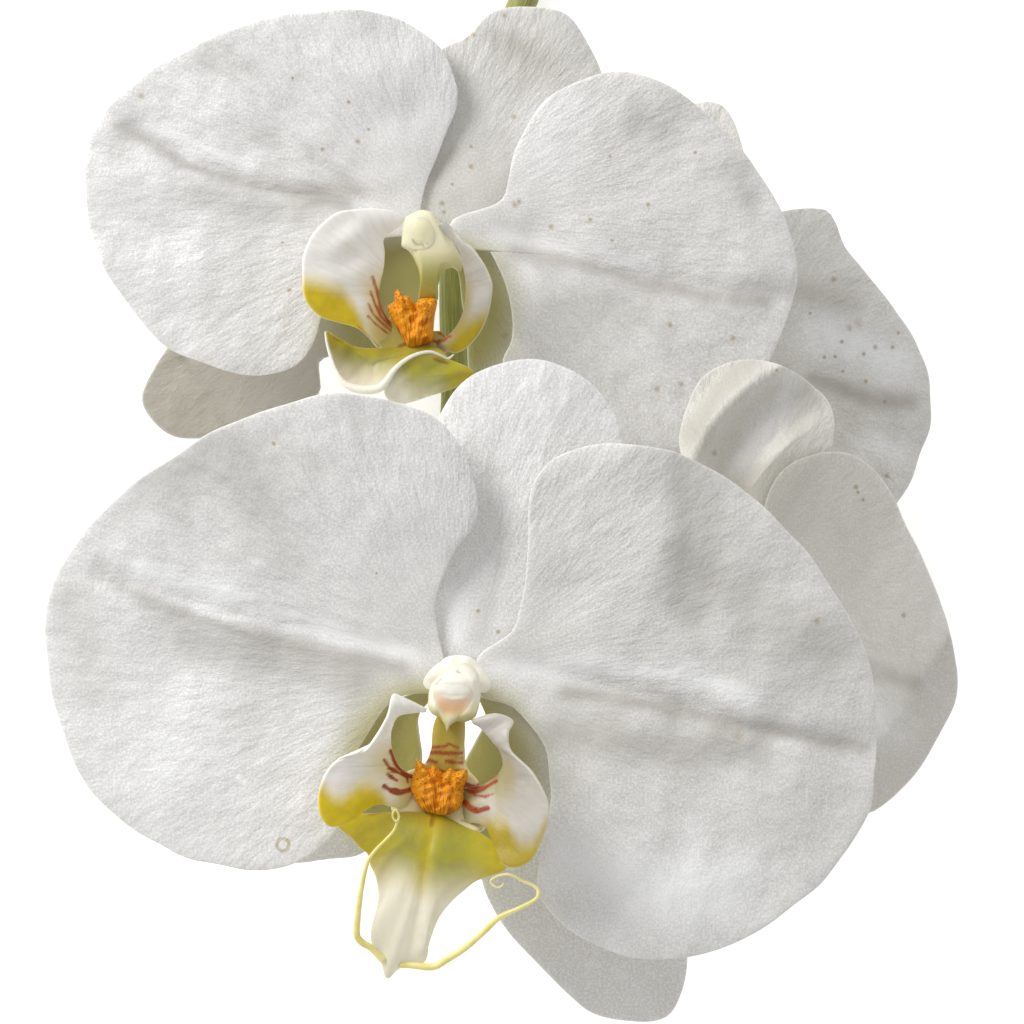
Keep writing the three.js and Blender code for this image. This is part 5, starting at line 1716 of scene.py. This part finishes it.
def green_material(name, light, dark, brown):
    """The skin of a stalk or the stem, with fibres along it."""
    shop = Shop(name)
    lengthwise = shop.make("ShaderNodeCombineXYZ", None, {"Z": shop.mask("along") * 0.12})
    around = shop.scaled(shop.mask("round", "Vector"), (7, 7, 0))
    fibres = shop.noise(shop.vectors("ADD", around, lengthwise), 1.0, 3.0, 0.6)
    mottle = shop.noise(shop.place, 0.16, 3.0, 0.55)
    grain = shop.noise(shop.place, 2.6, 3.0, 0.65)
    flecks = (1 - shop.cells(0.9).ramp(0.05, 0.12)) * 0.6
    colour = shop.blend(fibres.ramp(0.35, 0.7), light, dark)
    colour = shop.layered(colour, (mottle.ramp(0.5, 0.75) * 0.5, brown), (flecks, brown))
    return shop.finish(colour, fibres + grain * 0.3 + mottle * 0.8, 0.22, 0.45, 0.08, 0.8)


def cut_material():
    shop = Shop("cut_end")
    vessels = shop.cells(2.2)
    grain = shop.noise(shop.place, 2.0, 3.0, 0.6)
    colour = shop.blend(grain.ramp(0.3, 0.7), srgb(206, 206, 150), srgb(186, 184, 122))
    colour = shop.blend((1 - vessels.ramp(0.12, 0.24)) * 0.7, colour, srgb(132, 128, 70))
    return shop.finish(colour, grain - vessels * 0.5, 0.12, 0.6, 0.1, 0.6)


def in_row(points):
    """Places given from the stem's own start, moved to the part's frame."""
    points = np.array(points, float)
    points[:, 0] -= FOOTPRINT_MIDDLE[0]
    points[:, 1] -= FOOTPRINT_MIDDLE[1]
    return points


def stem_radius(y):
    tip = smooth((y - STEM_PATH[0][1]) / (RACHIS_START - STEM_PATH[0][1]))
    base = smooth((y - BASE_START) / (STEM_PATH[-1][1] - BASE_START))
    grown = TIP_RADIUS + (RACHIS_RADIUS - TIP_RADIUS) * tip
    swells = sum(NODE_SWELL * bell(y - place - 1, NODE_LENGTH) for place, _ in BRACTS)
    return grown + (CUT_RADIUS - RACHIS_RADIUS) * base + swells


def make_stalk(bloom):
    x, y, z = CENTRES[bloom]
    route = in_row(STALKS[bloom])
    seat = [(x, y, z + SEAT_TOP - depth) for depth in SEAT_DEPTHS]
    radii = [STALK_RADIUS] * len(route) + list(SEAT_FLARE)
    line = smooth_line(np.column_stack([np.vstack([route, seat]), radii]), 120)
    make_rods(f"{bloom}_stalk_rod", [line], 26, stalk_skin, f"{bloom}_stalk")


def make_stem():
    route = np.array(STEM_PATH, float)
    line = smooth_line(np.column_stack([route, np.zeros(len(route))]), 420)
    radii = stem_radius(line[:, 1])
    line = in_row(np.column_stack([line[:, :2], radii * STEM_SEAT, radii]))
    line[:, 3] *= quarter(np.arange(len(line)) * STEM_STEP / TIP_RADIUS, THIN_END)
    keep_above(make_rods("stem_rod", [line], 40, stem_skin, "stem"), 0)
    end, before = line[-1, :3], line[-3, :3]
    outward = (end - before) / np.linalg.norm(end - before)
    radius = line[-1, 3] * 0.93
    face = [(*(end + outward * out), radius) for out in CUT_FACE]
    keep_above(make_rods("stem_cut", [np.array(face)], 40, cut_skin, "stem"), 0.05)
    for number, (place, side) in enumerate(BRACTS):
        x, _, z, _ = line[np.argmin(abs(line[:, 1] + FOOTPRINT_MIDDLE[1] - place))]
        reach, y = stem_radius(place), place - FOOTPRINT_MIDDLE[1]
        middle = [
            (x + side * (reach + out), y + along, z + up, radius)
            for out, along, up, radius in BRACT_ROUTE
        ]
        points, faces = tube(np.array(middle), 26, 40)
        points[:, 2] = np.maximum(points[:, 2], 0)
        fit(mesh_piece(f"bract_{number}", points, faces, bract_skin), "stem")


petal_skins = {bloom: petal_material(bloom) for bloom in BLOOMS}
lip_skin = lip_material()
tendril_skin = tendril_material()
callus_skin = callus_material()
column_skin = column_material()
stalk_skin = green_material("stalk_skin", srgb(180, 180, 116), srgb(150, 154, 84), srgb(150, 140, 84))
stem_skin = green_material("stem_skin", srgb(160, 160, 84), srgb(124, 130, 58), srgb(126, 108, 62))
bract_skin = green_material("bract_skin", srgb(172, 164, 108), srgb(138, 128, 76), srgb(120, 92, 58))
cut_skin = cut_material()
for number, tepal in enumerate(sorted(SHAPES)):
    make_tepal(tepal, petal_skins[tepal[0]], number)
for bloom in BLOOMS:
    make_lip(bloom)
    if BLOOMS[bloom]["lip"] == "a":
        make_tendrils(bloom)
    else:
        make_rim(bloom)
    make_callus(bloom)
    make_column(bloom)
    make_stalk(bloom)
make_stem()


# Light, floor and camera

# How much the floor glows by itself, as a light table does, so that shadows on it stay pale.
FLOOR_GLOW = 0.5


def add_light(name, place, size, power, aim):
    lamp = bpy.data.lights.new(name, "AREA")
    lamp.shape = "DISK"
    lamp.size = size * MM
    lamp.energy = power
    light = linked(name, lamp)
    light.location = [c * MM for c in place]
    light.rotation_mode = "QUATERNION"
    direction = Vector(aim) - Vector(place)
    light.rotation_quaternion = direction.to_track_quat("-Z", "Y")


def make_floor():
    shop = Shop("floor_white")
    mottle = shop.noise(shop.place, 0.02, 2.0, 0.5)
    colour = shop.blend(mottle, (0.93, 0.93, 0.93), (0.95, 0.95, 0.95))
    glow = {"Emission_Color": (1.0, 1.0, 1.0, 1.0), "Emission_Strength": FLOOR_GLOW}
    material = shop.finish(colour, mottle, 0.01, 0.8, **glow)
    side = 3000
    corners = np.array([[-side, -side, 0], [side, -side, 0], [side, side, 0], [-side, side, 0]], float)
    floor = mesh_piece("floor", corners, [[0, 1, 2, 3]], material)


def make_camera():
    data = bpy.data.cameras.new("camera")
    data.sensor_width = SENSOR_WIDTH
    data.lens = FOCAL_PIXELS * SENSOR_WIDTH / FRAME_PIXELS
    data.clip_start = 0.01
    camera = linked("camera", data)
    camera.location = [c * MM for c in (*CAMERA_AT, CAMERA_HEIGHT)]
    bpy.context.scene.camera = camera


def make_light():
    scene = bpy.context.scene
    world = bpy.data.worlds.new("studio")
    world.use_nodes = True
    background = world.node_tree.nodes["Background"]
    background.inputs["Color"].default_value = (1.0, 1.0, 1.0, 1)
    background.inputs["Strength"].default_value = 0.58
    scene.world = world
    add_light("key", (-420, 330, 390), 340, 3.4, (0, -80, 20))
    scene.view_settings.view_transform = "Standard"


make_floor()
make_camera()
make_light()
